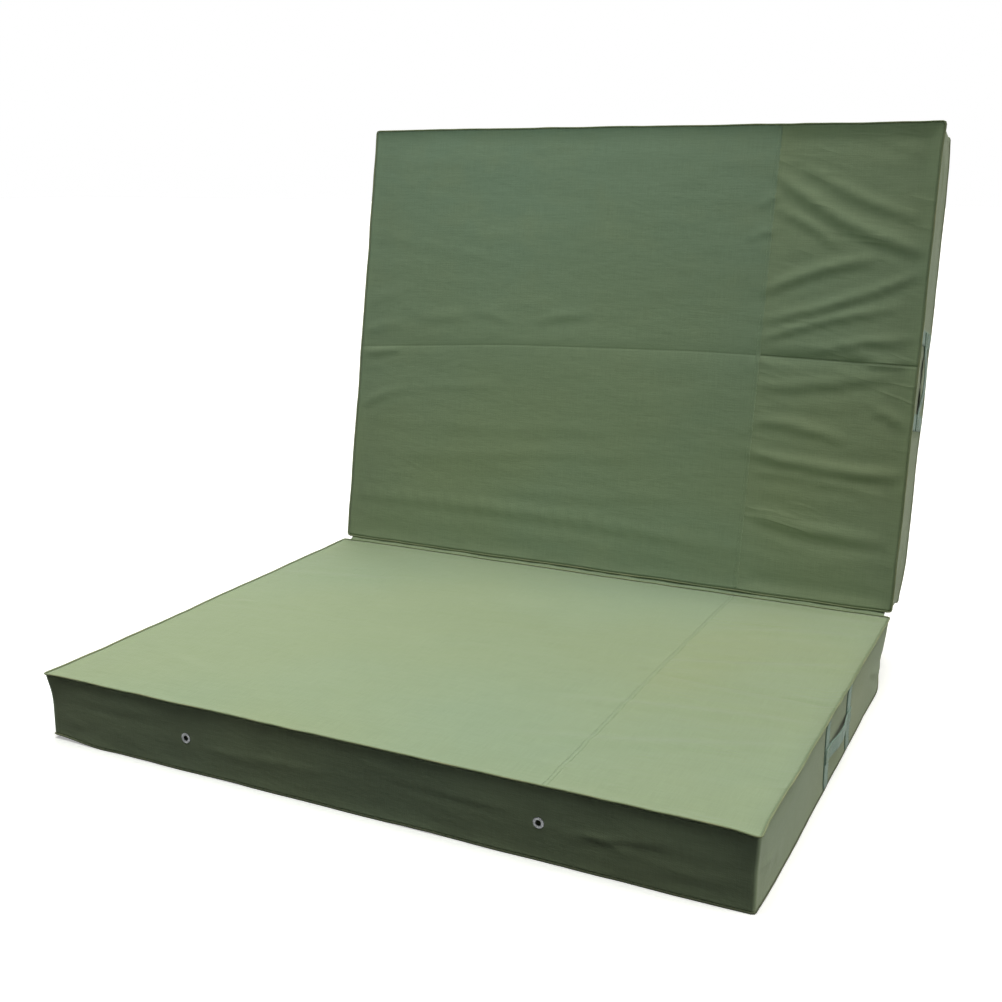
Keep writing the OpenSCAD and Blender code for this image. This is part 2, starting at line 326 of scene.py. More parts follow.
# Drag lines and puckers by side, each from one point to another in metres along the side's two axes,
# with the bow of its middle, its half width and its height in millimetres
DRAGS = {
    ("upper", "landing"): [
        # Long folds that pull from the seam across the eased narrow cloth
        (0.52, 1.33, 0.97, 1.11, -26, 17, 12),
        (0.60, 1.36, 0.94, 1.21, -12, 13, 7),
        (0.52, 1.23, 0.70, 1.13, 10, 12, 7),
        (0.50, 0.97, 0.82, 1.08, 14, 14, 10),
        (0.51, 0.88, 0.99, 1.05, -16, 13, 10),
        (0.51, 0.82, 0.90, 0.93, 12, 11, 9),
        (0.68, 0.79, 0.99, 0.84, 10, 10, 9),
        (0.80, 0.78, 1.00, 0.76, -8, 10, 9),
        (0.52, 0.67, 0.93, 0.73, -12, 13, 7),
        (0.88, 0.62, 1.00, 0.56, 6, 11, 7),
        (0.51, 0.56, 0.78, 0.52, 6, 13, 7),
        (0.51, 0.45, 1.00, 0.42, -14, 15, 10),
        (0.54, 0.39, 0.90, 0.36, 8, 12, 5),
        (0.56, 0.25, 0.94, 0.21, -10, 20, 5),
        (0.80, 1.45, 0.93, 1.41, 6, 12, 2.5),
        # Puckers at the seam
        (0.44, 1.14, 0.52, 1.17, 2, 10, 6),
        (0.46, 1.24, 0.52, 1.28, 2, 10, 6),
        (0.47, 0.73, 0.54, 0.75, 2, 9, 4),
        (0.46, 0.51, 0.54, 0.55, 2, 9, 3),
        # The bundle at the left end of the crease
        (-1.00, 0.77, -0.84, 0.79, 6, 11, 7),
        (-1.00, 0.69, -0.84, 0.71, -6, 11, 7),
        (-0.98, 0.49, -0.82, 0.56, 8, 14, 4),
        (-1.00, 0.87, -0.86, 0.90, 6, 14, 3),
        # Slack across the wide cloth
        (-0.76, 0.82, -0.58, 0.84, 4, 16, 3),
        (-0.54, 0.86, -0.40, 0.83, 4, 14, 3),
        (-0.28, 0.84, -0.10, 0.87, 4, 16, 4),
        (-0.34, 1.43, -0.29, 1.41, 1, 8, 3),
        (-0.80, 0.56, -0.30, 0.60, 14, 18, 1.4),
        (-0.62, 0.45, 0.02, 0.49, -12, 20, 1.4),
        (-0.72, 0.33, 0.12, 0.39, 14, 22, 1.6),
        (-0.40, 0.24, 0.30, 0.28, -10, 22, 1.4),
        (-1.00, 0.16, 0.46, 0.13, 20, 24, 4.5),
        (-0.90, 1.10, -0.50, 1.05, 10, 24, 1.2),
    ],
    ("lower", "landing"): [
        (0.30, 1.28, 0.94, 1.05, 18, 26, 5),
        (0.36, 1.02, 0.96, 0.90, -14, 24, 5),
        (0.52, 0.64, 0.98, 0.46, 12, 22, 5),
        (0.55, 0.34, 0.92, 0.22, -8, 26, 3),
        (-0.98, 0.44, -0.56, 0.34, 12, 26, 3),
        (-0.94, 1.16, -0.60, 1.30, 10, 26, 2.5),
        (0.46, 1.40, 0.52, 1.36, 2, 10, 3),
        (0.47, 0.86, 0.54, 0.84, 2, 9, 3),
        (0.86, 0.74, 1.00, 0.72, 4, 12, 4),
        (-1.00, 0.77, -0.86, 0.75, 4, 12, 4),
    ],
    ("lower", "free"): [
        (0.56, 0.078, 0.80, 0.110, 4, 9, 2.5),
        (0.60, 0.094, 0.72, 0.070, 2, 8, 3),
        (0.76, 0.062, 1.00, 0.066, -3, 9, 5),
        (-0.98, 0.120, -0.62, 0.132, 5, 9, 3),
        (-0.60, 0.060, -0.10, 0.086, 5, 12, 2),
        (0.02, 0.130, 0.42, 0.112, -5, 12, 2),
        (-1.00, 0.070, -0.88, 0.050, 3, 9, 3),
    ],
    ("lower", "right"): [
        (1.30, 0.050, 1.46, 0.090, 4, 9, 4),
        (0.08, 0.050, 0.26, 0.100, -5, 10, 5),
        (0.02, 0.080, 0.14, 0.040, 3, 8, 4),
        (1.00, 0.140, 1.36, 0.120, 6, 12, 2),
    ],
    ("upper", "right"): [
        (0.76, 0.150, 0.84, 0.060, 5, 10, 5),
        (0.62, 0.040, 0.74, 0.140, -5, 10, 4),
        (1.28, 0.060, 1.46, 0.120, 6, 11, 4),
        (0.06, 0.120, 0.22, 0.050, 5, 11, 5),
    ],
}
# The same for the sides that have no lines of their own above
OTHER_DRAGS = {
    "left": [
        (0.10, 0.06, 0.32, 0.11, 5, 11, 4),
        (1.2, 0.13, 1.44, 0.07, -6, 11, 4),
    ],
    "free": [
        (-0.96, 0.06, -0.6, 0.10, 6, 11, 3),
        (0.4, 0.12, 0.9, 0.08, -6, 12, 3),
    ],
    "fold": [
        (-0.98, 0.14, -0.5, 0.15, 3, 8, 2),
        (0.2, 0.04, 0.7, 0.03, 3, 8, 2),
    ],
    "underside": [
        (-0.9, 0.30, -0.2, 0.42, 16, 30, 4),
        (0.1, 0.50, 0.9, 0.34, -16, 30, 4),
        (-0.6, 1.10, 0.3, 1.24, 16, 32, 4),
        (0.5, 1.20, 0.95, 1.02, 12, 26, 5),
        (-0.98, 0.76, -0.8, 0.80, 5, 14, 4),
        (0.80, 0.80, 0.98, 0.76, 5, 14, 4),
    ],
}

# The line of the crease over the foam joint: how far it strays from the joint at some places along it
CREASE_X = (-1.0, -0.8, -0.4, 0.28, 0.5, 1.0)
CREASE_STRAY = {
    "upper": (-0.040, -0.026, 0.0, 0.018, 0.018, 0.012),
    "lower": (0.01, 0.006, 0.0, -0.004, 0.0, 0.008),
}
CREASE_DEPTH = {"upper": 3.4 * MM, "lower": 1.4 * MM}
# How many rows on each side of the crease bend with it
CREASE_REACH = 12
# How much deeper the narrow cloth lies, so that its folds have room below the other landing face
NARROW_ROOM = {"upper": 4.5 * MM, "lower": 2.0 * MM}
# How far the cloth drops inside its edge seams, and into the seam across a face
EDGE_DROP = 2.5 * MM
SEAM_DROP = 1.6 * MM
# How far the edge seams wander, along each axis
WANDER = (2.2 * MM, 2.2 * MM, 2.4 * MM)

# Where a corner of the foam is worn or its cover stands off: share of the panel's three sizes,
# reach, and shift in millimetres
CORNERS = {
    "lower": [
        (0, 1, 1, 0.038, (-6, 6, 0)),
        (0, 1, 0.55, 0.060, (2, -2, 0)),
        (0, 1, 0, 0.120, (2, -3, 9)),
        (1, 1, 1, 0.050, (4, 4, -3)),
        (1, 1, 0.5, 0.050, (-2, -2, 0)),
        (1, 1, 0, 0.070, (-2, -2, 0)),
        (1, 0, 0, 0.085, (-20, 12, 16)),
        (1, 0, 0.6, 0.060, (-4, 3, 0)),
        (0, 0, 0, 0.080, (14, 10, 8)),
        (0, 0, 1, 0.050, (-4, 0, -2)),
    ],
    "upper": [
        (1, 1, 1, 0.050, (4, 2, 0)),
        (1, 1, 0.5, 0.060, (-3, -3, 0)),
        (1, 1, 0, 0.070, (-5, -6, 3)),
        (0, 1, 1, 0.045, (-3, -1, -2)),
        (0, 1, 0.4, 0.060, (6, -6, 0)),
        (0, 1, 0, 0.070, (9, -7, 5)),
        (1, 0, 0.5, 0.085, (-5, 3, 0)),
        (1, 0, 0, 0.085, (-8, 8, 6)),
        (0, 0, 0.4, 0.080, (10, 5, 0)),
        (0, 0, 0, 0.080, (14, 10, 8)),
    ],
}


def drag(place, start, end, bow, half_width, height):
    """A rounded fold along a bowed line, with a hollow below it, over a table of places."""
    t = np.linspace(0, 1, 25)
    start, end = np.array(start), np.array(end)
    along = end - start
    across = np.array([-along[1], along[0]]) / np.linalg.norm(along)
    line = start + t[:, None] * along + (4 * t * (1 - t) * bow)[:, None] * across
    offset = place[:, :, None, :] - line
    reach = np.linalg.norm(offset, axis=-1)
    nearest = reach.argmin(-1)
    signed = np.take_along_axis(offset @ across, nearest[..., None], -1)[..., 0]
    distance = reach.min(-1)
    # A fold fades towards both ends, and faster at its loose one
    strength = np.clip(np.sin(np.pi * (0.08 + 0.84 * t[nearest])), 0, 1) ** 0.7
    upright = across[1] if across[1] else 1
    below = signed * np.sign(upright) + 1.5 * half_width
    crest = bell(distance, half_width)
    hollow = bell(below, half_width) * bell(distance, 2.4 * half_width)
    return height * strength * (crest - 0.7 * hollow)


def relief(panel, side, place):
    """Height of the cloth over one side's table of places, before it is pinned at the edges."""
    height = np.zeros(place.shape[:2])
    for x0, y0, x1, y1, bow, half_width, rise in DRAGS.get((panel.name, side)) or OTHER_DRAGS.get(side, ()):
        height += drag(place, (x0, y0), (x1, y1), bow * MM, half_width * MM, rise * MM)
    flat_place = place.reshape(-1, 2)
    seed = 3 + 2 * SIDES.index(side) + (20 if panel is UPPER else 0)
    broad = np.c_[flat_place * (0.6, 1.0), np.zeros(len(flat_place))]
    slack = ripple(broad, 0.26, seed)
    fine = ripple(broad * (0.5, 1.2, 1), 0.075, seed + 50)
    slack_rise, fine_rise = (1.6, 1.0) if side in WALLS else (2.2, 0.8)
    return height + (slack_rise * slack + fine_rise * fine).reshape(height.shape) * MM


def worn(places, panel):
    """How far the worn corners of the foam, and the cover over them, are shifted at some places."""
    total = np.zeros(places.shape)
    for *share, reach, shift in CORNERS[panel.name]:
        centre = np.array([-WIDTH / 2, 0, 0]) + np.array([WIDTH, DEPTH, THICK]) * share
        total += bell(np.linalg.norm(places - centre, axis=1), reach)[:, None] * np.array(shift) * MM
    return total


def sunk_face(panel, height, place, margin):
    """A face's heights with its crease, its cross seam, its narrow cloth and its rim let in."""
    x = place[..., 0]
    rows = np.abs(np.arange(CELLS_Y + 1) - CREASE_ROW)[None, :]
    columns = np.abs(np.arange(CELLS_X + 1) - SEAM_COLUMN)[:, None]
    crease = CREASE_DEPTH[panel.name] * (0.4 + 1.1 * smooth(x, SEAM_X - 0.06, SEAM_X + 0.1))
    crease = crease * (0.8 * (rows == 0) + 0.2 * bell(rows, 1.4)) * smooth(margin, -0.01, 0.02)
    seam = SEAM_DROP * bell(columns, 1.2) * smooth(margin, 0, 0.02)
    narrow = NARROW_ROOM[panel.name] * smooth(x, SEAM_X, SEAM_X + 0.05) * smooth(margin, 0, 0.04)
    rim = EDGE_DROP * smooth(margin, 0, 0.02) * (1 - smooth(margin, 0.03, 0.12))
    return height - crease - seam - narrow - rim


def sculpt(skin, panel):
    """Shapes the cover: crease, folds, edges and corners. Returns which points its edge seams hold."""
    flat, points, cell = skin.flat, skin.points, skin.cell
    # Rows beside the crease follow its line
    stray = np.interp(flat[:, 0], CREASE_X, CREASE_STRAY[panel.name])
    near = np.clip(1 - np.abs(cell[:, 1] - CREASE_ROW) / CREASE_REACH, 0, 1)
    points[:, 1] += stray * near * flat[:, 2] / THICK
    for side in SIDES:
        table = skin.grid(side)
        place = points[table][:, :, list(SIDE_AXES[side])]
        margin = np.minimum(place - place.min((0, 1)), place.max((0, 1)) - place).min(-1)
        height = relief(panel, side, place) * smooth(margin, -0.004, 0.026 if side in WALLS else 0.05)
        if side in WALLS:
            height -= EDGE_DROP * smooth(margin, 0, 0.02)
        else:
            height = sunk_face(panel, height, place, margin)
        points[table] += np.minimum(height, PROUD[side])[..., None] * NORMALS[side]
    points += worn(flat, panel)
    # The edge seams wander a little
    at_edge = ((cell[:, :2] == 0) | (cell[:, :2] == (CELLS_X, CELLS_Y))).any(1)
    at_edge &= np.isin(cell[:, 2], (0, CELLS_Z))
    x, y, z = flat.T
    outline = np.minimum.reduce([x + WIDTH / 2, WIDTH / 2 - x, y, DEPTH - y])
    near_edge = bell(THICK - z, 0.02) + bell(z, 0.02)
    fade = np.maximum(at_edge, near_edge * bell(outline, 0.02))
    seed = 5 if panel is LOWER else 9
    wander = [ripple(flat, 0.17, seed + n) + 0.5 * ripple(flat, 0.06, seed + 9 + n) for n in range(3)]
    points += np.stack(wander, 1) * fade[:, None] * WANDER
    limit(skin)
    return at_edge


def limit(skin):
    """Keeps the cover off the floor, and off the other panel's cover when the mat is closed."""
    landing, walls = skin.on("landing"), skin.on(*WALLS)
    top = np.where(landing * walls > 0, 0.2 * MM, landing * PROUD["landing"])
    skin.points[:, 2] = np.clip(skin.points[:, 2], 0, THICK + top)
    skin.points[:, 1] = np.maximum(skin.points[:, 1], -PROUD["fold"])


# How much longer the narrow cloth was cut than the foam that it covers
EASE = 0.014
# How firmly the cloth is held in the simulation, from 0 to 1: by the foam on the walls, on the faces
# and less under the narrow cloth, and by the seam across a face
WALL_HOLD = 0.5
FACE_HOLD = 0.34
NARROW_HOLD_LOSS = 0.1
SEAM_HOLD = 0.7
SIM_FRAMES = 20
# How far the foam lets a simulated wrinkle go
WRINKLE_CAP = 5 * MM


def relax(obj, skin, at_edge):
    """A cloth simulation against the foam, in which the cloth finds its own wrinkles."""
    walls = skin.on(*WALLS)
    x = skin.flat[:, 0]
    # The foam holds the cloth lightly, and the edge seams hold it fast
    hold = np.where(walls > 0, WALL_HOLD, FACE_HOLD - NARROW_HOLD_LOSS * smooth(x, SEAM_X, SEAM_X + 0.06))
    hold = np.where((skin.cell[:, 0] == SEAM_COLUMN) & (walls == 0), SEAM_HOLD, hold)
    hold = np.where(at_edge, 1.0, hold)
    taut = 0.4 - 0.4 * smooth(x, SEAM_X - 0.05, SEAM_X + 0.1)
    for name, weights in (("held", hold), ("taut", taut)):
        chosen = obj.vertex_groups.new(name=name)
        for number, weight in enumerate(weights):
            chosen.add([number], float(weight), "REPLACE")
    modifier = obj.modifiers.new("cloth", "CLOTH")
    cloth = modifier.settings
    cloth.quality = 5
    cloth.mass = 0.3
    cloth.tension_stiffness = 20
    cloth.compression_stiffness = 20
    cloth.shear_stiffness = 8
    cloth.bending_model = "LINEAR"
    cloth.bending_stiffness = 0.6
    cloth.air_damping = 4
    cloth.vertex_group_mass = "held"
    cloth.vertex_group_shrink = "taut"
    cloth.shrink_min = -EASE
    cloth.shrink_max = 0
    cloth.effector_weights.gravity = 0
    modifier.collision_settings.use_collision = False
    modifier.point_cache.frame_start = 1
    modifier.point_cache.frame_end = SIM_FRAMES
    scene = bpy.context.scene
    for number in range(1, SIM_FRAMES + 1):
        scene.frame_set(number)
    frozen(obj)
    scene.frame_set(1)
    return corners(obj.data)


def settle(skin, raw):
    """Adds the simulated wrinkles to the given shape, no further than the foam lets them go."""
    move = raw - skin.points
    length = np.linalg.norm(move, axis=1)
    share = WRINKLE_CAP * np.tanh(length / WRINKLE_CAP) / np.maximum(length, 1e-9)
    skin.points += move * share[:, None]
    limit(skin)


# --- Vents: where they are, and the pocket behind each ---

VENT_POINTS = LOWER.points("vent_eyelets")
VENTS = [VENT_POINTS[VENT_POINTS[:, 0] * side > 0][:, 0] for side in (-1, 1)]
VENTS = [(xs.min() + xs.max()) / 2 for xs in VENTS]
VENT_RADII = np.unique(np.round(np.hypot(VENT_POINTS[:, 0] - VENTS[0], VENT_POINTS[:, 2] - MID), 4))[:3]
VENT_HOLE, VENT_BARREL, VENT_RIM = VENT_RADII
VENT_FLANGE = VENT_POINTS[:, 1].max() - DEPTH
# The rows of cells that a pocket takes, how deep it is, and its clearance round the eyelet's barrel
POCKET_ROWS = (4, 8)
POCKET_DEPTH = 14 * MM
POCKET_ROOM = 0.8 * MM


def nearest_column(x):
    return round((x + WIDTH / 2) / WIDTH * CELLS_X)


def centre_vents(skin):
    """Shifts the columns of the free wall so that one runs through each vent."""
    middle = sum(POCKET_ROWS) // 2
    for x in VENTS:
        column = nearest_column(x)
        stray = x - (-WIDTH / 2 + WIDTH * column / CELLS_X)
        near = np.clip(1 - np.abs(skin.cell[:, 0] - column) / 5, 0, 1)
        near *= np.clip(1.4 - np.abs(skin.cell[:, 2] - middle) / 5, 0, 1)
        skin.points[:, 0] += stray * near * skin.on("free")


def cut_pockets(skin, points, quads, sides):
    """Opens the free wall behind each vent into a round, blind pocket."""
    low, high = POCKET_ROWS
    mouth = VENT_BARREL + POCKET_ROOM
    steps = ((mouth, 0.4 * MM), (mouth, 4 * MM), (mouth, POCKET_DEPTH), (0.4 * mouth, POCKET_DEPTH))
    keep = np.ones(len(quads), bool)
    new_points, new_quads, centres = [points], [], []
    count = len(points)
    for x in VENTS:
        column = nearest_column(x)
        wall = skin.index[column - 1 : column + 2, -1, low : high + 1]
        keep &= ~np.isin(quads, wall).all(1)
        loop = rim_of(wall)
        centre = points[loop].mean(0)
        centre[0], centre[2] = x, MID
        centres.append(centre)
        around = np.array([np.arctan2(*(points[p] - centre)[[2, 0]]) for p in loop])
        rings = [loop]
        for radius, depth in steps:
            across, up = centre[0] + radius * np.cos(around), MID + radius * np.sin(around)
            new_points.append(np.stack([across, np.full(len(loop), centre[1] - depth), up], 1))
            rings.append(list(range(count, count + len(loop))))
            count += len(loop)
        for outer, inner in zip(rings, rings[1:]):
            for a in range(len(loop)):
                b = (a + 1) % len(loop)
                new_quads.append([outer[a], inner[a], inner[b], outer[b]])
        # The pocket's end is closed to a point in its middle
        new_points.append([[centre[0], centre[1] - POCKET_DEPTH, MID]])
        last = rings[-1]
        for a in range(0, len(loop), 2):
            new_quads.append([last[a], count, last[(a + 2) % len(loop)], last[a + 1]])
        count += 1
    quads = np.concatenate([quads[keep], np.array(new_quads)])
    sides = np.concatenate([sides[keep], np.full(len(new_quads), SIDES.index("free"))])
    return np.concatenate(new_points), quads, sides, centres


# --- Laying pieces on the finished cloth ---


class Cloth:
    """The finished cloth of one side, as a surface to lay other pieces on."""

    def __init__(self, skin, side):
        table = skin.grid(side)
        a, b = SIDE_AXES[side]
        grid = skin.points[table]
        for axis in (0, 1):
            grid = np.moveaxis(grid, axis, 0)
            inner = (grid[:-2] + 4 * grid[1:-1] + grid[2:]) / 6
            grid = np.concatenate([grid[:1], inner, grid[-1:]])
            grid = np.moveaxis(grid, 0, axis)
        self.grid = grid
        self.u = skin.flat[table][:, 0, a]
        self.v = skin.flat[table][0, :, b]
        normal = np.cross(np.gradient(grid, axis=0), np.gradient(grid, axis=1))
        normal /= np.linalg.norm(normal, axis=-1, keepdims=True)
        self.normal = normal * np.sign((normal * NORMALS[side]).sum(-1, keepdims=True))

    def at(self, u, v, height):
        """Points at places u, v along the side's two axes and a height off the cloth."""
        u, v, height = np.broadcast_arrays(np.asarray(u, float), v, height)
        fu = np.interp(u, self.u, np.arange(len(self.u)))
        fv = np.interp(v, self.v, np.arange(len(self.v)))
        i = np.minimum(fu.astype(int), len(self.u) - 2)
        j = np.minimum(fv.astype(int), len(self.v) - 2)
        du, dv = (fu - i)[..., None], (fv - j)[..., None]
        found = 0
        for table, amount in ((self.grid, 1), (self.normal, height[..., None])):
            corner = (1 - du) * (1 - dv) * table[i, j] + du * (1 - dv) * table[i + 1, j]
            corner = corner + (1 - du) * dv * table[i, j + 1] + du * dv * table[i + 1, j + 1]
            found = found + amount * corner
        return found


def outward(obj):
    """Turns the faces of a closed mesh outwards."""
    work = bmesh.new()
    work.from_mesh(obj.data)
    bmesh.ops.recalc_face_normals(work, faces=work.faces)
    work.to_mesh(obj.data)
    work.free()
    return obj


def loop_points(mesh):
    """The point number of each face corner."""
    found = np.empty(len(mesh.loops), int)
    mesh.loops.foreach_get("vertex_index", found)
    return found


def set_uv(mesh, places):
    """Gives a mesh the UV map of its cloth, in metres, from one place for each face corner."""
    layer = mesh.uv_layers.new(name="cloth")
    layer.data.foreach_set("uv", np.asarray(places, np.float32).ravel())


def slab(name, us, vs, lift, height, at, finish, rim=0.4 * MM, panel=None):
    """A closed flat band over places us by vs, laid on a surface, with its rim rounded down."""
    u, v = np.meshgrid(us, vs, indexing="ij")
    n, m = u.shape
    edge = np.ones((n, m), bool)
    edge[1:-1, 1:-1] = False
    over = at(u, v, lift + height - rim * edge).reshape(-1, 3)
    under = at(u, v, np.full_like(u, lift)).reshape(-1, 3)
    faces = grid_faces(n, m)
    faces += [[p + n * m for p in reversed(face)] for face in faces]
    loop = rim_of(np.arange(n * m).reshape(n, m))
    faces += [[a, a + n * m, b + n * m, b] for a, b in zip(loop, loop[1:] + loop[:1])]
    obj = outward(build(name, np.concatenate([over, under]), faces, finish, panel))
    places = np.tile(np.stack([u.ravel(), v.ravel()], 1), (2, 1))
    set_uv(obj.data, places[loop_points(obj.data)])
    return obj


def looped_cord(name, path, radii, sides, finish, panel):
    """A round cord swept round a closed path, with its own radius at each point."""
    ahead = np.roll(path, -1, 0) - np.roll(path, 1, 0)
    ahead /= np.linalg.norm(ahead, axis=1, keepdims=True)
    side = np.cross(ahead, (0.0, 0.0, 1.0))
    side /= np.linalg.norm(side, axis=1, keepdims=True)
    rise = np.cross(side, ahead)
    angle = np.linspace(0, 2 * np.pi, sides, endpoint=False)
    ring = np.cos(angle)[None, :, None] * side[:, None] + np.sin(angle)[None, :, None] * rise[:, None]
    points = path[:, None] + radii[:, None, None] * ring
    run = np.concatenate([[0], np.cumsum(np.linalg.norm(np.diff(points[:, 0], axis=0), axis=1))])
    places = np.stack(np.broadcast_arrays(run[:, None], (angle * radii[0])[None, :]), -1).reshape(-1, 2)
    faces = grid_faces(len(path), sides, ring=True, closed=True)
    obj = outward(build(name, points.reshape(-1, 3), faces, finish, panel))
    set_uv(obj.data, places[loop_points(obj.data)])
    return obj


def join(name, objects):
    """Several meshes as one piece."""
    first = objects[0]
    chosen = {"active_object": first, "selected_objects": objects, "selected_editable_objects": objects}
    with bpy.context.temp_override(**chosen):
        bpy.ops.object.join()
    first.name = first.data.name = name
    return first


# --- Geometry Nodes: rows of stitches, and zip teeth ---


def add(tree, kind, links=None, **settings):
    """A node with its settings; each link or constant goes to the input of that name or number."""
    made = tree.nodes.new(kind)
    for name, value in settings.items():
        setattr(made, name, value)
    for name, value in (links or {}).items():
        if isinstance(value, bpy.types.NodeSocket):
            tree.links.new(value, made.inputs[name])
        else:
            made.inputs[name].default_value = value
    return made


def new_tree(name, inputs):
    """An empty geometry tree with named inputs: (name, socket type, default)."""
    tree = bpy.data.node_groups.new(name, "GeometryNodeTree")
    tree.interface.new_socket("Geometry", in_out="INPUT", socket_type="NodeSocketGeometry")
    tree.interface.new_socket("Geometry", in_out="OUTPUT", socket_type="NodeSocketGeometry")
    for label, kind, default in inputs:
        socket = tree.interface.new_socket(label, in_out="INPUT", socket_type=kind)
        if default is not None:
            socket.default_value = default
    return tree


def finish_tree(tree, instances, finish):
    """Ends a geometry tree: its instances made real and given their material."""
    real = add(tree, "GeometryNodeRealizeInstances", {0: instances.outputs[0]})
    dressed = add(tree, "GeometryNodeSetMaterial", {0: real.outputs[0], "Material": finish})
    add(tree, "NodeGroupOutput", {0: dressed.outputs[0]})


def realized(obj, tree, values, name):
    """Runs a geometry tree on obj with these input values, and keeps the plain mesh."""
    modifier = obj.modifiers.new(tree.name, "NODES")
    modifier.node_group = tree
    sockets = {item.name: item.identifier for item in tree.interface.items_tree if item.in_out == "INPUT"}
    for label, value in values.items():
        modifier[sockets[label]] = value
    obj.update_tag()
    frozen(obj)
    obj.name = obj.data.name = name
    obj.data.polygons.foreach_set("use_smooth", [True] * len(obj.data.polygons))
    return obj


def stitch_tree():
    """Stitches: a small rounded thread loop at every pitch along each line of the mesh."""
    tree = new_tree(
        "Stitches",
        [
            ("Pitch", "NodeSocketFloat", 8 * MM),
            ("Length", "NodeSocketFloat", 6 * MM),
            ("Thickness", "NodeSocketFloat", 1.2 * MM),
            ("Thread", "NodeSocketMaterial", None),
        ],
    )
    given = add(tree, "NodeGroupInput")
    curve = add(tree, "GeometryNodeMeshToCurve", {0: given.outputs["Geometry"]})
    spacing = {"Curve": curve.outputs[0], "Length": given.outputs["Pitch"]}
    spaced = add(tree, "GeometryNodeResampleCurve", spacing, mode="LENGTH")
    tangent = add(tree, "GeometryNodeInputTangent")
    turn = add(tree, "FunctionNodeAlignRotationToVector", {"Vector": tangent.outputs[0]}, axis="Z")
    bead = add(tree, "GeometryNodeMeshUVSphere", {"Segments": 6, "Rings": 4, "Radius": 0.5})
    thickness = given.outputs["Thickness"]
    size = add(tree, "ShaderNodeCombineXYZ", {"X": thickness, "Y": thickness, "Z": given.outputs["Length"]})
    links = {
        "Points": spaced.outputs[0],
        "Instance": bead.outputs[0],
        "Rotation": turn.outputs[0],
        "Scale": size.outputs[0],
    }
    finish_tree(tree, add(tree, "GeometryNodeInstanceOnPoints", links), given.outputs["Thread"])
    return tree


def tooth_tree():
    """Zip teeth: two rows of rounded teeth that meet half a pitch apart."""
    tree = new_tree(
        "Zip teeth",
        [
            ("Start", "NodeSocketVector", (0.0, 0.0, 0.0)),
            ("Pitch", "NodeSocketFloat", 4 * MM),
            ("Count", "NodeSocketInt", 10),
            ("Tooth", "NodeSocketVector", (2 * MM, 3 * MM, 5 * MM)),
            ("Overlap", "NodeSocketFloat", 1 * MM),
            ("Plastic", "NodeSocketMaterial", None),
        ],
    )
    given = add(tree, "NodeGroupInput").outputs
    step = add(tree, "ShaderNodeCombineXYZ", {"X": given["Pitch"]}).outputs[0]
    half = add(tree, "ShaderNodeVectorMath", {0: step, "Scale": 0.5}, operation="SCALE").outputs[0]
    height = add(tree, "ShaderNodeSeparateXYZ", {0: given["Tooth"]}).outputs["Z"]
    spread = add(tree, "ShaderNodeMath", {0: height, 1: given["Overlap"]}, operation="SUBTRACT").outputs[0]
    both = add(tree, "GeometryNodeJoinGeometry")
    for sign in (1, -1):
        offset = add(tree, "ShaderNodeMath", {0: spread, 1: sign / 2}, operation="MULTIPLY").outputs[0]
        lift = add(tree, "ShaderNodeCombineXYZ", {"Z": offset}).outputs[0]
        start = add(tree, "ShaderNodeVectorMath", {0: given["Start"], 1: lift}, operation="ADD").outputs[0]
        if sign < 0:
            start = add(tree, "ShaderNodeVectorMath", {0: start, 1: half}, operation="ADD").outputs[0]
        row = {"Count": given["Count"], "Start Location": start, "Offset": step}
        tree.links.new(add(tree, "GeometryNodeMeshLine", row).outputs[0], both.inputs[0])
    block = add(tree, "GeometryNodeMeshCube", {"Size": given["Tooth"]}).outputs[0]
    rounding = {"Mesh": block, "Level": 1, "Edge Crease": 0.55}
    tooth = add(tree, "GeometryNodeSubdivisionSurface", rounding).outputs[0]
    teeth = add(tree, "GeometryNodeInstanceOnPoints", {"Points": both.outputs[0], "Instance": tooth})
    finish_tree(tree, teeth, given["Plastic"])
    return tree


def group(name, make):
    """The geometry tree of that name, made the first time that it is needed."""
    return bpy.data.node_groups.get(name) or make()


def stitch(name, lines, panel=None):
    """Rows of stitches along lines of points, each line a table of points."""
    trim = bpy.context.scene.mat_trim
    points = np.concatenate(lines)
    ends = np.cumsum([len(line) for line in lines])
    edges = [(a, a + 1) for a in range(len(points) - 1) if a + 1 not in ends]
    if panel is not None:
        points = panel.place(points)
    mesh = bpy.data.meshes.new(name)
    mesh.from_pydata(points.tolist(), edges, [])
    values = {
        "Pitch": trim.stitch_pitch,
        "Length": trim.stitch_length,
        "Thickness": trim.thread_thickness,
        "Thread": material("Sewing thread"),
    }
    return realized(placed(name, mesh), group("Stitches", stitch_tree), values, name)


# --- Materials ---


def surface(name, colour, roughness, metallic=0.0, sheen=0.0, ior=None):
    """A new material: its tree, and its Principled shader with these constants."""
    made = bpy.data.materials.new(name)
    made.use_nodes = True
    shader = made.node_tree.nodes["Principled BSDF"]
    shader.inputs["Base Color"].default_value = linear(colour)
    shader.inputs["Roughness"].default_value = roughness
    shader.inputs["Metallic"].default_value = metallic
    shader.inputs["Sheen Weight"].default_value = sheen
    if ior is not None:
        shader.inputs["IOR"].default_value = ior
    made.diffuse_color = linear(colour)
    return made, made.node_tree, shader


def laid_over(tree, base, colour, pattern, low, high, least=0.0, most=1.0):
    """A base with a colour over it: least of it where the pattern is low, and most where it is high."""
    share = add(tree, "ShaderNodeMapRange", {0: pattern, 1: low, 2: high, 3: least, 4: most}).outputs[0]
    base, colour = [linear(end) if isinstance(end, str) else end for end in (base, colour)]
    return add(tree, "ShaderNodeMix", {0: share, 6: base, 7: colour}, data_type="RGBA").outputs[2]


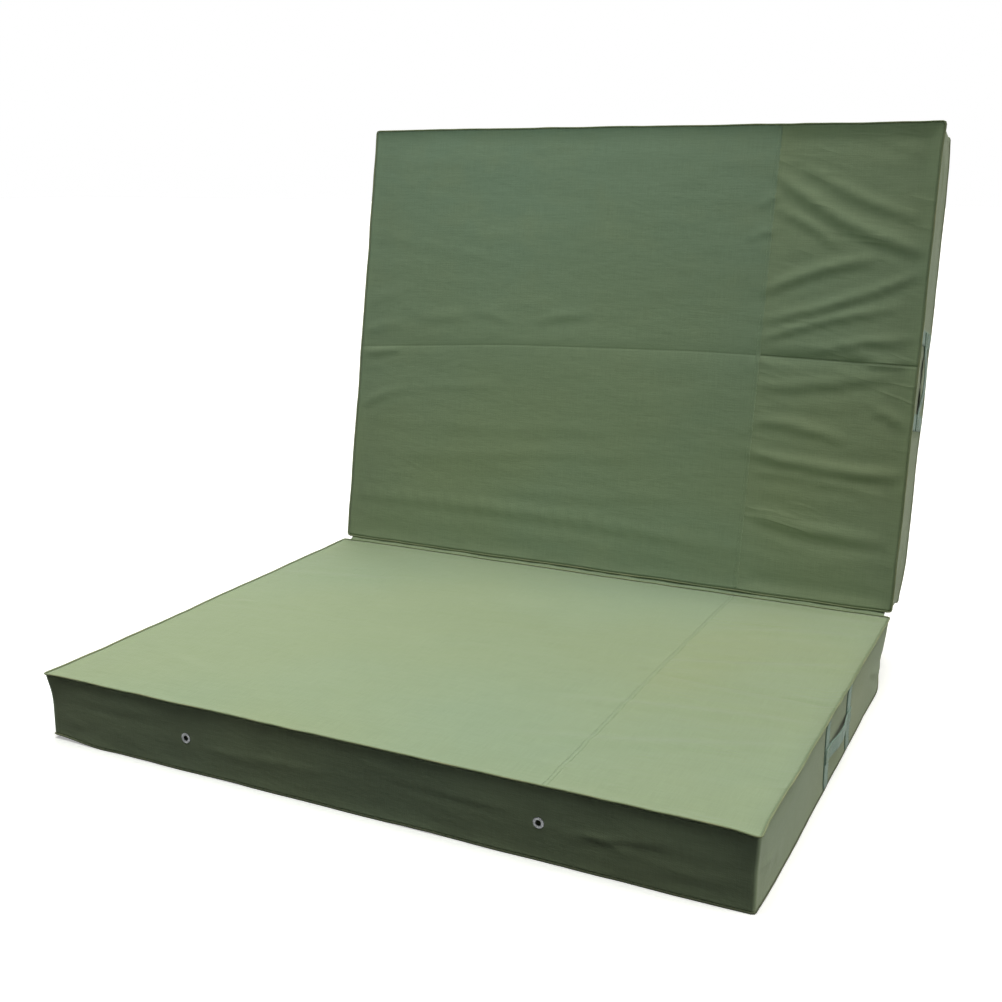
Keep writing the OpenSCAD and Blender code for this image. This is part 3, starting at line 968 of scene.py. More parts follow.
def cloudy(tree, source, size, detail=2.0, roughness=0.5):
    """Soft patches of about this size in metres along each axis of a map."""
    scaled = add(tree, "ShaderNodeMapping", {"Vector": source, "Scale": [1 / s for s in size]})
    links = {"Vector": scaled.outputs[0], "Scale": 1.0, "Detail": detail, "Roughness": roughness}
    return add(tree, "ShaderNodeTexNoise", links).outputs["Fac"]


def threads(tree, source, pitch):
    """Plain weave: height of crossing threads, each pitch wide, over a map in metres."""
    split = add(tree, "ShaderNodeSeparateXYZ", {0: source}).outputs
    turns = []
    for axis in ("X", "Y"):
        links = {0: split[axis], 1: math.pi / pitch}
        phase = add(tree, "ShaderNodeMath", links, operation="MULTIPLY").outputs[0]
        turns.append(add(tree, "ShaderNodeMath", {0: phase}, operation="SINE").outputs[0])
    both = add(tree, "ShaderNodeMath", {0: turns[0], 1: turns[1]}, operation="MULTIPLY").outputs[0]
    return add(tree, "ShaderNodeMapRange", {0: both, 1: -1.0}).outputs[0]


def away_from(tree, value, middle):
    """How far a value is from a middle one, either way."""
    gap = add(tree, "ShaderNodeMath", {0: value, 1: middle}, operation="SUBTRACT").outputs[0]
    return add(tree, "ShaderNodeMath", {0: gap}, operation="ABSOLUTE").outputs[0]


def roughen(tree, shader, pattern, smoothest, roughest):
    """Lets the roughness follow a cloudy pattern."""
    links = {0: pattern, 1: 0.3, 2: 0.7, 3: smoothest, 4: roughest}
    tree.links.new(add(tree, "ShaderNodeMapRange", links).outputs[0], shader.inputs["Roughness"])


def finish_surface(tree, shader, colour, layers):
    """Gives the shader its colour, and bump from layers of (height, metres) with the finest last."""
    tree.links.new(colour, shader.inputs["Base Color"])
    last = {}
    for height, distance in layers:
        links = {"Height": height, "Distance": distance, "Strength": 1.0, **last}
        last = {"Normal": add(tree, "ShaderNodeBump", links).outputs[0]}
    if last:
        tree.links.new(last["Normal"], shader.inputs["Normal"])


def canvas():
    """Cotton canvas, woven plain and dyed army green: dull, with slubs, faint fading, painted light high on
    the raised panel, painted shade along its crease, and a soft sheen.
    """
    cover = bpy.context.scene.mat_cover
    made, tree, shader = surface("Cotton canvas", cover.canvas, 0.86, sheen=0.28)
    flat = add(tree, "ShaderNodeUVMap", uv_map="cloth").outputs[0]
    place = add(tree, "ShaderNodeTexCoord").outputs["Object"]
    # The narrow cloth came from another roll, a little browner
    roll = add(tree, "ShaderNodeAttribute", attribute_name="second_roll").outputs["Fac"]
    base = laid_over(tree, cover.canvas, cover.canvas_narrow, roll, 0.0, 1.0)
    # Broad fading towards a cooler green
    broad = cloudy(tree, place, (0.9, 0.9, 0.7))
    base = laid_over(tree, base, cover.canvas_faded_and_lit, broad, 0.42, 0.66, 0.0, 0.4)
    # Painted light: the cloth is painted cooler with height above 0.5 m, most on the raised panel towards its
    # free edge, and least on its narrow cloth
    level = add(tree, "ShaderNodeSeparateXYZ", {0: place}).outputs["Z"]
    most = add(tree, "ShaderNodeMapRange", {0: roll, 3: 0.7, 4: 0.15}).outputs[0]
    base = laid_over(tree, base, cover.canvas_faded_and_lit, level, 0.5, 1.6, 0.0, most)
    patches = cloudy(tree, place, (0.24, 0.24, 0.16), 4.0, 0.6)
    base = laid_over(tree, base, cover.canvas_worn, patches, 0.48, 0.75, 0.0, 0.35)
    # Slubs are under a millimetre on real canvas, and are drawn three times as wide to show
    warp = cloudy(tree, flat, (0.10, 0.003, 1.0))
    weft = cloudy(tree, flat, (0.003, 0.07, 1.0))
    slubs = add(tree, "ShaderNodeMath", {0: warp, 1: weft}, operation="ADD").outputs[0]
    base = laid_over(tree, base, cover.canvas_dark, slubs, 0.7, 1.35, 0.0, 0.22)
    # Threads of 0.6 mm would be lost at this size, so the weave is drawn at 2 mm
    weave = threads(tree, flat, 2 * MM)
    base = laid_over(tree, base, cover.canvas_dark, weave, 0.0, 0.5, 0.16, 0.0)
    # A thin crease over the joint of the foam: a bump groove, with painted shade darkening its line
    along = add(tree, "ShaderNodeSeparateXYZ", {0: flat}).outputs["Y"]
    gap = away_from(tree, along, CREASE_ROW / CELLS_Y * DEPTH)
    creased = add(tree, "ShaderNodeAttribute", attribute_name="creased").outputs["Fac"]
    crease_groove_and_shade = add(tree, "ShaderNodeMapRange", {0: gap, 2: 6 * MM, 3: creased, 4: 0.0}).outputs[0]
    base = laid_over(tree, base, cover.canvas_dark, crease_groove_and_shade, 0.0, 1.0, 0.0, 0.3)
    roughen(tree, shader, patches, 0.80, 0.92)
    crumple = cloudy(tree, flat, (0.11, 0.05, 1.0), 5.0, 0.55)
    # Sharp fine creases in places, which the eased narrow cloth has most of
    slant = (0, 0, math.radians(11))
    turned = add(tree, "ShaderNodeMapping", {"Vector": flat, "Rotation": slant}).outputs[0]
    bent = away_from(tree, cloudy(tree, turned, (0.40, 0.075, 1.0), 2.0, 0.45), 0.5)
    slack = add(tree, "ShaderNodeAttribute", attribute_name="slack").outputs["Fac"]
    where = cloudy(tree, flat, (0.30, 0.16, 1.0))
    where = add(tree, "ShaderNodeMapRange", {0: where, 1: 0.50, 2: 0.68}).outputs[0]
    amount = add(tree, "ShaderNodeMath", {0: where, 1: slack}, operation="MULTIPLY").outputs[0]
    crest = add(tree, "ShaderNodeMapRange", {0: bent, 2: 0.08, 3: 1.0, 4: 0.0}).outputs[0]
    creases = add(tree, "ShaderNodeMath", {0: crest, 1: amount}, operation="MULTIPLY").outputs[0]
    layers = [
        (crumple, 2.0 * MM),
        (creases, 1.5 * MM),
        (crease_groove_and_shade, -2.4 * MM),
        (slubs, 0.25 * MM),
        (weave, 0.25 * MM),
    ]
    finish_surface(tree, shader, base, layers)
    return made


def piping_cloth():
    """Bias-cut canvas drawn tight over a cord: darker, with pale streaks of rubbed wear and painted highlight,
    painted shade near the floor, and diagonal threads.
    """
    cover = bpy.context.scene.mat_cover
    made, tree, shader = surface("Bias piping", cover.piping, 0.8, sheen=0.1)
    flat = add(tree, "ShaderNodeUVMap", uv_map="cloth").outputs[0]
    # Pale streaks along the cord: rubbed wear, and a painted highlight
    rub_and_highlight = cloudy(tree, flat, (0.09, 0.004, 1.0), 3.0)
    base = laid_over(tree, cover.piping, cover.piping_rub_and_highlight, rub_and_highlight, 0.45, 0.7, 0.0, 0.4)
    # Painted shade: darker where it meets the floor
    place = add(tree, "ShaderNodeTexCoord").outputs["Object"]
    level = add(tree, "ShaderNodeSeparateXYZ", {0: place}).outputs["Z"]
    base = laid_over(tree, base, cover.piping_floor_shade, level, 5 * MM, 14 * MM, 0.85, 0.0)
    turned = add(tree, "ShaderNodeMapping", {"Vector": flat, "Rotation": (0, 0, math.pi / 4)}).outputs[0]
    finish_surface(tree, shader, base, [(rub_and_highlight, 0.4 * MM), (threads(tree, turned, 1.2 * MM), 0.2 * MM)])
    return made


def webbing_cloth():
    """Polyester webbing, woven in heavy ribs: smoother than canvas, with a paler wear on its ribs."""
    trim = bpy.context.scene.mat_trim
    made, tree, shader = surface("Ribbed webbing", trim.webbing, 0.62, sheen=0.1)
    flat = add(tree, "ShaderNodeUVMap", uv_map="cloth").outputs[0]
    ribs = threads(tree, flat, 2.4 * MM)
    wear = cloudy(tree, flat, (0.02, 0.02, 1.0), 4.0)
    base = laid_over(tree, trim.webbing, trim.webbing_dark, ribs, 0.0, 0.8, 0.55, 0.0)
    base = laid_over(tree, base, trim.webbing_worn, wear, 0.5, 0.75, 0.0, 0.4)
    finish_surface(tree, shader, base, [(wear, 0.5 * MM), (ribs, 0.5 * MM)])
    return made


def thread():
    """Bonded polyester thread, twisted: a slight gloss."""
    trim = bpy.context.scene.mat_trim
    made, tree, shader = surface("Sewing thread", trim.thread, 0.55)
    place = add(tree, "ShaderNodeTexCoord").outputs["Object"]
    twist = cloudy(tree, place, (1.2 * MM, 1.2 * MM, 1.2 * MM), 1.0)
    soil = cloudy(tree, place, (0.2, 0.2, 0.2), 3.0)
    shade = laid_over(tree, trim.thread, trim.thread_dark, soil, 0.4, 0.7, 0.0, 0.5)
    finish_surface(tree, shader, shade, [(twist, 0.1 * MM)])
    return made


def foam():
    """Open-cell polyurethane foam, cut with a wire: matt, pitted and yellowed in patches."""
    fresh, yellowed = "#EDE4C6", "#DCC98F"
    made, tree, shader = surface("Polyurethane foam", fresh, 0.95)
    place = add(tree, "ShaderNodeTexCoord").outputs["Object"]
    base = laid_over(tree, fresh, yellowed, cloudy(tree, place, (0.3, 0.3, 0.1), 3.0), 0.4, 0.7)
    # Cells of 2 mm
    cells = add(tree, "ShaderNodeTexVoronoi", {"Vector": place, "Scale": 500.0}).outputs["Distance"]
    finish_surface(tree, shader, base, [(cells, 0.6 * MM)])
    return made


def plated(name, colour, tarnish, roughness):
    """Plated metal, stamped and tumbled: softly blurred reflections with dull patches."""
    made, tree, shader = surface(name, colour, roughness, metallic=1.0)
    place = add(tree, "ShaderNodeTexCoord").outputs["Object"]
    dull = cloudy(tree, place, (6 * MM, 6 * MM, 6 * MM), 4.0)
    roughen(tree, shader, dull, roughness - 0.08, roughness + 0.2)
    base = laid_over(tree, colour, tarnish, dull, 0.45, 0.7, 0.0, 0.7)
    finish_surface(tree, shader, base, [(dull, 0.05 * MM)])
    return made


def vent_metal():
    """Nickel plate over pressed steel, dulled outdoors: grey, with soft blurred highlights."""
    return plated("Nickel-plated steel", bpy.context.scene.mat_hardware.vent, "#5E6062", 0.42)


def zip_metal():
    """Brass plate, antiqued and lacquered: brown in dull patches."""
    return plated("Antique brass", bpy.context.scene.mat_hardware.brass, "#5A4A2C", 0.38)


def zip_plastic():
    """Moulded acetal teeth: smooth, with a low gloss and fine moulding marks."""
    hardware = bpy.context.scene.mat_hardware
    made, tree, shader = surface("Moulded acetal", hardware.zip, 0.42, ior=1.48)
    place = add(tree, "ShaderNodeTexCoord").outputs["Object"]
    marks = cloudy(tree, place, (4 * MM, 4 * MM, 4 * MM), 3.0)
    roughen(tree, shader, marks, 0.34, 0.55)
    base = laid_over(tree, hardware.zip, "#2E312B", marks, 0.0, 1.0)
    finish_surface(tree, shader, base, [(marks, 0.05 * MM)])
    return made


def zip_cloth():
    """Polyester zip tape, woven close: flat and dark, with dust in its weave."""
    hardware = bpy.context.scene.mat_hardware
    made, tree, shader = surface("Zip tape", hardware.zip_tape, 0.8, sheen=0.1)
    flat = add(tree, "ShaderNodeUVMap", uv_map="cloth").outputs[0]
    weave = threads(tree, flat, 1.2 * MM)
    dust = cloudy(tree, flat, (0.08, 0.02, 1.0), 4.0)
    base = laid_over(tree, hardware.zip_tape, "#3C4036", dust, 0.4, 0.75, 0.0, 0.4)
    base = laid_over(tree, base, "#101210", weave, 0.0, 0.5, 0.5, 0.0)
    finish_surface(tree, shader, base, [(weave, 0.25 * MM)])
    return made


def floor_paper():
    """Seamless studio paper: matt and nearly white."""
    stage = bpy.context.scene.mat_stage
    made, tree, shader = surface("Studio paper", stage.floor, 0.9)
    place = add(tree, "ShaderNodeTexCoord").outputs["Object"]
    base = laid_over(tree, stage.floor, "#F4F4F2", cloudy(tree, place, (0.5, 0.5, 0.5), 3.0), 0.0, 1.0)
    finish_surface(tree, shader, base, [])
    # The paper is lit from behind as well, so it stays white out to its edge
    shader.inputs["Emission Color"].default_value = linear("#FFFFFF")
    shader.inputs["Emission Strength"].default_value = 0.35
    return made


FINISHES = {
    "Cotton canvas": canvas,
    "Bias piping": piping_cloth,
    "Ribbed webbing": webbing_cloth,
    "Sewing thread": thread,
    "Polyurethane foam": foam,
    "Nickel-plated steel": vent_metal,
    "Antique brass": zip_metal,
    "Moulded acetal": zip_plastic,
    "Zip tape": zip_cloth,
    "Studio paper": floor_paper,
}


def material(name):
    """The material of that name, made the first time that it is needed."""
    return bpy.data.materials.get(name) or FINISHES[name]()


# --- Settings ---


def hex_colour(name, where, default):
    """A colour that the user sets as an sRGB hex value."""
    return StringProperty(name=name, description=f"Hex colour of {where}", default=default)


def small_length(name, description, default, least):
    """A small length that the user sets."""
    return FloatProperty(name=name, description=description, default=default, min=least, unit="LENGTH")


def light_strength(name, description, default):
    """A light's strength that the user sets."""
    return FloatProperty(name=name, description=description, default=default, min=0)


class MatCoverSettings(bpy.types.PropertyGroup):
    """Colours of the cover."""

    canvas: hex_colour("Canvas", "the wide cloth", "#8D9C77")
    canvas_narrow: hex_colour("Narrow canvas", "the narrow cloth", "#8F9C75")
    # Used for random fading, and also as painted light, cooler with height on the raised panel
    canvas_faded_and_lit: hex_colour("Faded canvas", "the cloth where it has faded", "#829A83")
    canvas_worn: hex_colour("Worn canvas", "the cloth where it is rubbed", "#98A582")
    # Also the painted shade along the crease
    canvas_dark: hex_colour("Dark canvas", "the gaps between the threads", "#5E6B4E")
    piping: hex_colour("Piping", "the piping", "#76835F")
    # Painted shade on the piping near the floor
    piping_floor_shade: hex_colour("Soiled piping", "the piping at the floor", "#4A5239")
    # The pale streaks on the piping: rubbed wear and a painted highlight
    piping_rub_and_highlight: hex_colour("Rubbed piping", "the piping where it is rubbed", "#A69C78")


class MatTrimSettings(bpy.types.PropertyGroup):
    """Colours and stitch sizes of the webbing and the seams."""

    webbing: hex_colour("Webbing", "the webbing", "#7C9788")
    webbing_dark: hex_colour("Webbing grooves", "the grooves between its ribs", "#4F675B")
    webbing_worn: hex_colour("Worn webbing", "its worn ribs", "#A3B5A4")
    thread: hex_colour("Thread", "the thread", "#8A9C76")
    thread_dark: hex_colour("Soiled thread", "the thread where it is soiled", "#75855F")
    stitch_pitch: small_length("Stitch pitch", "Distance from stitch to stitch", 8 * MM, 3 * MM)
    stitch_length: small_length("Stitch length", "Visible length of a stitch", 6.2 * MM, 2 * MM)
    thread_thickness: small_length("Thread thickness", "Thickness of the thread", 0.9 * MM, 0.3 * MM)


class MatHardwareSettings(bpy.types.PropertyGroup):
    """Colours and sizes of the vents and the zips."""

    vent: hex_colour("Vents", "the eyelets", "#84868A")
    brass: hex_colour("Zip metal", "the slider, the pull and the stops", "#8A7448")
    zip: hex_colour("Zip teeth", "the teeth", "#1C1E1A")
    zip_tape: hex_colour("Zip tape", "the tape", "#1F221C")
    tooth_pitch: small_length("Tooth pitch", "Distance from tooth to tooth", 4 * MM, 2 * MM)


class MatStageSettings(bpy.types.PropertyGroup):
    """The floor, the lights and the camera."""

    floor: hex_colour("Floor", "the floor", "#EFEFED")
    overhead: light_strength("Overhead light", "Strength of the light from above", 2.25)
    side: light_strength("Side light", "Strength of the light from the right", 1.4)
    back: light_strength("Back light", "Strength of the light from behind", 0.75)
    sky: light_strength("Sky light", "Strength of the light from the sky", 0.1)
    lamp: light_strength("Lamp", "Power of the lamp on the raised panel, in watts", 19)
    eye: FloatVectorProperty(
        name="Camera place",
        description="Where the camera stands",
        default=(1.584, -3.147, 1.526),
        subtype="XYZ",
    )
    heading: FloatProperty(
        name="Heading",
        description="Turn of the camera to the right",
        default=math.radians(-26.36),
        subtype="ANGLE",
    )
    tilt: FloatProperty(
        name="Tilt",
        description="Tilt of the camera above level",
        default=math.radians(-14.37),
        subtype="ANGLE",
    )
    lens: FloatProperty(
        name="Lens",
        description="Focal length of the camera, in millimetres",
        default=45.93,
        min=10,
    )


SETTINGS = {
    "mat_cover": MatCoverSettings,
    "mat_trim": MatTrimSettings,
    "mat_hardware": MatHardwareSettings,
    "mat_stage": MatStageSettings,
}


# --- Pieces ---

# The finished skin of each panel and its sides, which the other pieces are laid on
COVERS = {}
# How far the fold wall is drawn in behind the zip
ZIP_RECESS = 4.5 * MM
CLOTH_NODES = (
    "landing_cloth_wide",
    "landing_cloth_narrow",
    "underside_cloth_wide",
    "underside_cloth_narrow",
    "fold_wall",
    "free_wall",
    "left_wall",
    "right_wall",
)


def recess_zip(skin):
    """Draws the fold wall in behind the zip."""
    half = WIDTH / 2 - np.abs(skin.flat[:, 0])
    inside = smooth(half, 0.09, 0.11) * skin.on("fold")
    row = np.abs(skin.cell[:, 2] - CELLS_Z // 2)
    skin.points[:, 1] += np.where(row <= 1, ZIP_RECESS, 0) * inside
    # Beside the zip the wall stays flat, so that the welts lie on it
    beside = inside * (row == 2)
    skin.points[:, 1] = skin.points[:, 1] * (1 - beside) + 0.4 * MM * beside


def set_values(mesh, name, domain, values):
    """A named number on each face or edge."""
    mesh.attributes.new(name, "FLOAT", domain).data.foreach_set("value", values.astype(np.float32))


def mark_cloths(mesh, cut, quads, sides, panel):
    """Marks the cloth from the second roll, how slack each cloth is, and how deep its crease and the painted
    shade in it are.
    """
    on_face = np.isin(sides, [SIDES.index(side) for side in FACES])
    middles = np.array([cut[quad][:, 0].mean() for quad in quads])
    narrow = ((middles > SEAM_X) & on_face) | (sides == SIDES.index("right"))
    slack = np.where(on_face, np.where(narrow, 1.0, 0.15), 0.3)
    # The raised panel's crease has set, and most of all in its narrow cloth
    creased = np.where(narrow, 0.9, 0.32) * (1.0 if panel is UPPER else 0.12)
    for name, values in (("second_roll", narrow), ("slack", slack), ("creased", creased)):
        set_values(mesh, name, "FACE", values)


def sharpen_edges(mesh, skin, count):
    """Keeps the edge seams and the crease sharp when the skin is subdivided."""
    ends = np.empty(2 * len(mesh.edges), int)
    mesh.edges.foreach_get("vertices", ends)
    # The pockets' points are in no cell
    cell = np.concatenate([skin.cell, np.full((count - len(skin.cell), 3), -1)])[ends.reshape(-1, 2)]
    rim = (cell[:, :, :2] == 0) | (cell[:, :, :2] == (CELLS_X, CELLS_Y))
    both_rim = (rim[:, 0] & rim[:, 1]).any(1)
    level = (cell[:, 0, 2] == cell[:, 1, 2]) & np.isin(cell[:, 0, 2], (0, CELLS_Z))
    crease = (cell[:, :, 1] == CREASE_ROW).all(1) & level
    set_values(mesh, "crease_edge", "EDGE", np.where(level & both_rim, 1.0, np.where(crease, 0.7, 0.0)))


def make_cover(panel):
    """The cover: shaped from given tables, relaxed as cloth, cut for its zip and vents, and marked for its
    cloths.
    """
    skin = Skin()
    centre_vents(skin)
    at_edge = sculpt(skin, panel)
    quads, sides = skin.faces()
    canvas_cloth = material("Cotton canvas")
    loose = build("loose_cover", skin.points, quads.tolist(), canvas_cloth)
    settle(skin, relax(loose, skin, at_edge))
    bpy.data.objects.remove(loose)
    recess_zip(skin)
    points, quads, sides, vents = cut_pockets(skin, skin.points, quads, sides)
    cover = build(panel.node("cover"), points, quads.tolist(), canvas_cloth, panel)
    # Each side's cloth is mapped in metres along its own threads
    cut = np.concatenate([skin.flat, points[len(skin.flat) :]])
    corner = loop_points(cover.data)
    axes = np.array([SIDE_AXES[side] for side in SIDES])[np.repeat(sides, 4)]
    set_uv(cover.data, np.stack([cut[corner, axes[:, 0]], cut[corner, axes[:, 1]]], 1))
    mark_cloths(cover.data, cut, quads, sides, panel)
    sharpen_edges(cover.data, skin, len(points))
    subdivide(outward(cover))
    put_on(cover, panel.body, "canvas", *[panel.node(part) for part in CLOTH_NODES])
    COVERS[panel.name] = {"skin": skin, "vents": vents}
    for side in SIDES:
        COVERS[panel.name][side] = Cloth(skin, side)


def make_foam(panel):
    """Two blocks, a little smaller than their cover, with soft edges and crowned faces."""
    inset = 16 * MM
    joint_gap = 1 * MM
    crown_rise = 2 * MM
    for part, from_y, to_y in (
        ("fold_foam", inset, FOAM_JOINT - joint_gap),
        ("free_foam", FOAM_JOINT + joint_gap, DEPTH - inset),
    ):
        low = np.array([-WIDTH / 2 + inset, from_y, inset])
        high = np.array([WIDTH / 2 - inset, to_y, THICK - inset])
        # Close rows at the ends keep the block's edges tight when it is subdivided
        steps = [np.sort([*np.linspace(0, 1, count + 1), 0.012, 0.988]) for count in (24, 12, 4)]
        index, cell = shell([len(step) - 1 for step in steps])
        share = np.stack([step[cell[:, axis]] for axis, step in enumerate(steps)], 1)
        points = low + (high - low) * share
        crown = np.sin(np.pi * share[:, 0]) * np.sin(np.pi * share[:, 1])
        points[:, 2] += np.where(share[:, 2] == 1, crown_rise * crown, 0)
        points += worn(points, panel)
        quads = np.concatenate([quads_of(np.take(index, end, axis)) for axis in range(3) for end in (0, -1)])
        name = panel.node(part + "_block")
        block = outward(build(name, points, quads.tolist(), material("Polyurethane foam"), panel))
        subdivide(block)
        put_on(block, panel.body, "foam_core", panel.node(part))


def edge_path(panel, top, out, up):
    """The line along a cover's edge seam, moved out from the panel and up."""
    skin = COVERS[panel.name]["skin"]
    line = skin.points[rim_of(skin.index[:, :, -1 if top else 0])]
    before, after = np.roll(line, 1, 0), np.roll(line, -1, 0)
    kept = (before + 6 * line + after) / 8
    line = np.stack([kept, (line + after) / 2], 1).reshape(-1, 3)
    ahead = np.roll(line, -2, 0) - np.roll(line, 2, 0)
    ahead /= np.linalg.norm(ahead[:, :2], axis=1, keepdims=True)
    away = np.stack([ahead[:, 1], -ahead[:, 0], np.zeros(len(line))], 1)
    return line + out * away + (0, 0, up)


def make_piping(panel):
    """A covered cord round both edge seams, thicker where its ends overlap on the fold wall."""
    # The lower cord is tucked in under the panel's weight
    tuck = 1.6 * MM
    lap_at = 2 * round(0.31 * CELLS_X)
    for part, top, out, up in (
        ("landing_piping", True, PIPE_OFF, PIPE_OFF),
        ("underside_piping", False, PIPE_OFF - tuck, PIPE_D / 2),
    ):
        path = edge_path(panel, top, out, up)
        radii = np.full(len(path), PIPE_D / 2)
        radii *= 1 + 0.05 * ripple(path, 0.03, 4)
        radii *= 1 + 0.18 * bell(np.arange(len(path)) - lap_at, 2.0)
        cord = looped_cord(panel.node(part + "_cord"), path, radii, 8, material("Bias piping"), panel)
        put_on(cord, panel.body, "piping", panel.node(part))


def make_seams(panel):
    """The flat-felled seam across both faces, with its two rows of stitches."""
    half = 7 * MM
    row_off = 4.5 * MM
    pucker, pucker_length = 0.25 * MM, 21 * MM
    ends = (6 * MM, DEPTH - 6 * MM)
    across = np.linspace(SEAM_X - half, SEAM_X + half, 5)
    along = np.linspace(*ends, 4 * CELLS_Y)
    canvas_cloth = material("Cotton canvas")
    lines, bands = [], []
    for side in FACES:
        cloth = COVERS[panel.name][side]

        def laid(u, v, height, cloth=cloth):
            wave = pucker * np.sin(2 * np.pi * v / pucker_length) * np.abs(u - SEAM_X) / half
            return cloth.at(u, v, height + wave)

        name = f"{side}_band"
        bands.append(slab(name, across, along, -0.8 * MM, 1.3 * MM, laid, canvas_cloth, 0.6 * MM, panel))
        for offset in (-row_off, row_off):
            lines.append(cloth.at(SEAM_X + offset, np.linspace(*ends, 3 * CELLS_Y), 0.6 * MM))
    put_on(join(panel.node("face_seams"), bands), panel.body, "canvas")
    put_on(stitch(panel.node("face_seam_thread"), lines, panel), panel.body, "canvas")


def make_vents(panel):
    """Rolled eyelets, pressed into the cloth of the free wall."""
    turns = 48
    rise = VENT_FLANGE
    barrel_end = -6 * MM
    # Radius and height off the cloth, from under the rim over the roll and down the barrel
    profile = [
        (VENT_RIM - 0.6 * MM, -0.5 * MM),
        (VENT_RIM, 0.1 * MM),
        (VENT_RIM - 0.1 * MM, 0.6 * rise),
        (VENT_RIM - 0.8 * MM, rise),
        (VENT_RIM - 1.8 * MM, 1.15 * rise),
        ((VENT_RIM + VENT_HOLE) / 2, 1.25 * rise),
        (VENT_HOLE + 1.6 * MM, 1.5 * rise),
        (VENT_HOLE + 0.6 * MM, 1.35 * rise),
        (VENT_HOLE, 0.5 * rise),
        (VENT_HOLE, barrel_end),
        (VENT_BARREL, barrel_end),
        (VENT_BARREL, -0.5 * MM),
    ]
    radius, height = np.array(profile).T[:, :, None]
    angle = np.linspace(0, 2 * np.pi, turns, endpoint=False)
    around = [radius * np.cos(angle), height + 0 * angle, radius * np.sin(angle)]
    faces = grid_faces(len(profile), turns, ring=True, closed=True)
    rings = []
    for x, y, _ in COVERS[panel.name]["vents"]:
        points = np.stack(around, -1).reshape(-1, 3) + (x, y, MID)
        rings.append(outward(build("eyelet", points, faces, material("Nickel-plated steel"), panel)))
    put_on(join(panel.node("eyelets"), rings), panel.body, "vent_metal", panel.node("vent_eyelets"))
    # The washers behind the cloth keep their own shape
    washers = frame["nodes"][panel.node("vent_washers")].data
    washers.materials.clear()
    washers.materials.append(material("Nickel-plated steel"))


def softened(name, node, width, finish):
    """A copy of a CAD node with its doubles merged and its edges rounded."""
    mesh = frame["nodes"][node].data.copy()
    mesh.name = name
    work = bmesh.new()
    work.from_mesh(mesh)
    bmesh.ops.remove_doubles(work, verts=work.verts, dist=0.01 * MM)
    bmesh.ops.dissolve_limit(work, angle_limit=math.radians(1), verts=work.verts, edges=work.edges)
    work.to_mesh(mesh)
    work.free()
    mesh.materials.clear()
    mesh.materials.append(finish)
    mesh.polygons.foreach_set("use_smooth", [True] * len(mesh.polygons))
    obj = placed(name, mesh)
    modifier = obj.modifiers.new("rounded", "BEVEL")
    modifier.width = width
    modifier.segments = 2
    modifier.limit_method = "ANGLE"
    modifier.angle_limit = math.radians(35)
    modifier.harden_normals = True
    return frozen(obj)


def flat_fold(u, v, height):
    """Places on the plane of the fold wall."""
    u, v, height = np.broadcast_arrays(u, v, height)
    return np.stack([u, -height, v], -1)


def make_tapes(panel):
    """The zip's two tapes, one above and one below its teeth."""
    low, high = panel.box("zip_tapes")
    inner, outer = panel.steps("zip_tapes", 1)
    levels = panel.steps("zip_tapes", 2)
    along = np.linspace(low[0], high[0], 121)
    tape_cloth = material("Zip tape")
    tapes = []
    for bottom, top in (levels[:2], levels[2:]):
        rows = np.linspace(bottom, top, 7)
        tapes.append(slab("tape", along, rows, -outer, outer - inner, flat_fold, tape_cloth, 0.2 * MM, panel))
    put_on(join(panel.node("zip_tape_pair"), tapes), panel.body, "zip_tape", panel.node("zip_tapes"))


def make_welts(panel):
    """The folded edges of the wall's cloth above and below the teeth, each with a row of stitches."""
    welt, overlap, row_in = 13 * MM, 4 * MM, 4 * MM
    slot_half = panel.steps("fold_wall", 0)[2]
    slot_low, slot_high = panel.steps("fold_wall", 2)[1:3]
    span = np.linspace(-slot_half - overlap, slot_half + overlap, 161)
    canvas_cloth = material("Cotton canvas")
    welts, lines = [], []
    for near, way in ((slot_low, -1), (slot_high, 1)):
        rows = np.linspace(*sorted((near, near + way * welt)), 6)
        welts.append(slab("welt", span, rows, -0.6 * MM, 1.8 * MM, flat_fold, canvas_cloth, 0.7 * MM, panel))
        lines.append(flat_fold(span, near + way * row_in, 1.3 * MM))
    put_on(join(panel.node("zip_welts"), welts), panel.body, "canvas")
    put_on(stitch(panel.node("zip_thread"), lines, panel), panel.body, "canvas")


def make_teeth(panel):
    """The zip's teeth, in the space of its chain."""
    low, high = panel.box("zip_chain")
    long, thick, tall = high - low
    pitch = bpy.context.scene.mat_hardware.tooth_pitch
    values = {
        "Start": (low[0] + pitch / 2, (low[1] + high[1]) / 2, MID),
        "Pitch": pitch,
        "Count": int(long / pitch),
        "Tooth": (0.56 * pitch, thick, 0.62 * tall),
        "Overlap": 0.24 * tall,
        "Plastic": material("Moulded acetal"),
    }
    carrier = placed("teeth", bpy.data.meshes.new("teeth"))
    teeth = realized(carrier, group("Zip teeth", tooth_tree), values, panel.node("zip_teeth"))
    teeth.data.transform(Matrix.Translation(panel.shift) @ Matrix(panel.turn).to_4x4())
    if panel.mirrored:
        teeth.data.flip_normals()
    put_on(teeth, panel.body, "zip_chain", panel.node("zip_chain"))


def make_zip(panel):
    """The zip in the fold wall: tapes under canvas welts, moulded teeth, stops, slider and pull."""
    make_tapes(panel)
    make_welts(panel)
    make_teeth(panel)
    for part, body, rounding in (
        ("zip_stops", panel.body, 0.6 * MM),
        ("zip_slider", panel.node("zip_slider"), 0.6 * MM),
        ("zip_pull", panel.node("zip_pull"), 0.5 * MM),
    ):
        piece = softened(panel.node(part + "_cast"), panel.node(part), rounding, material("Antique brass"))
        put_on(piece, body, "zip_metal", panel.node(part))


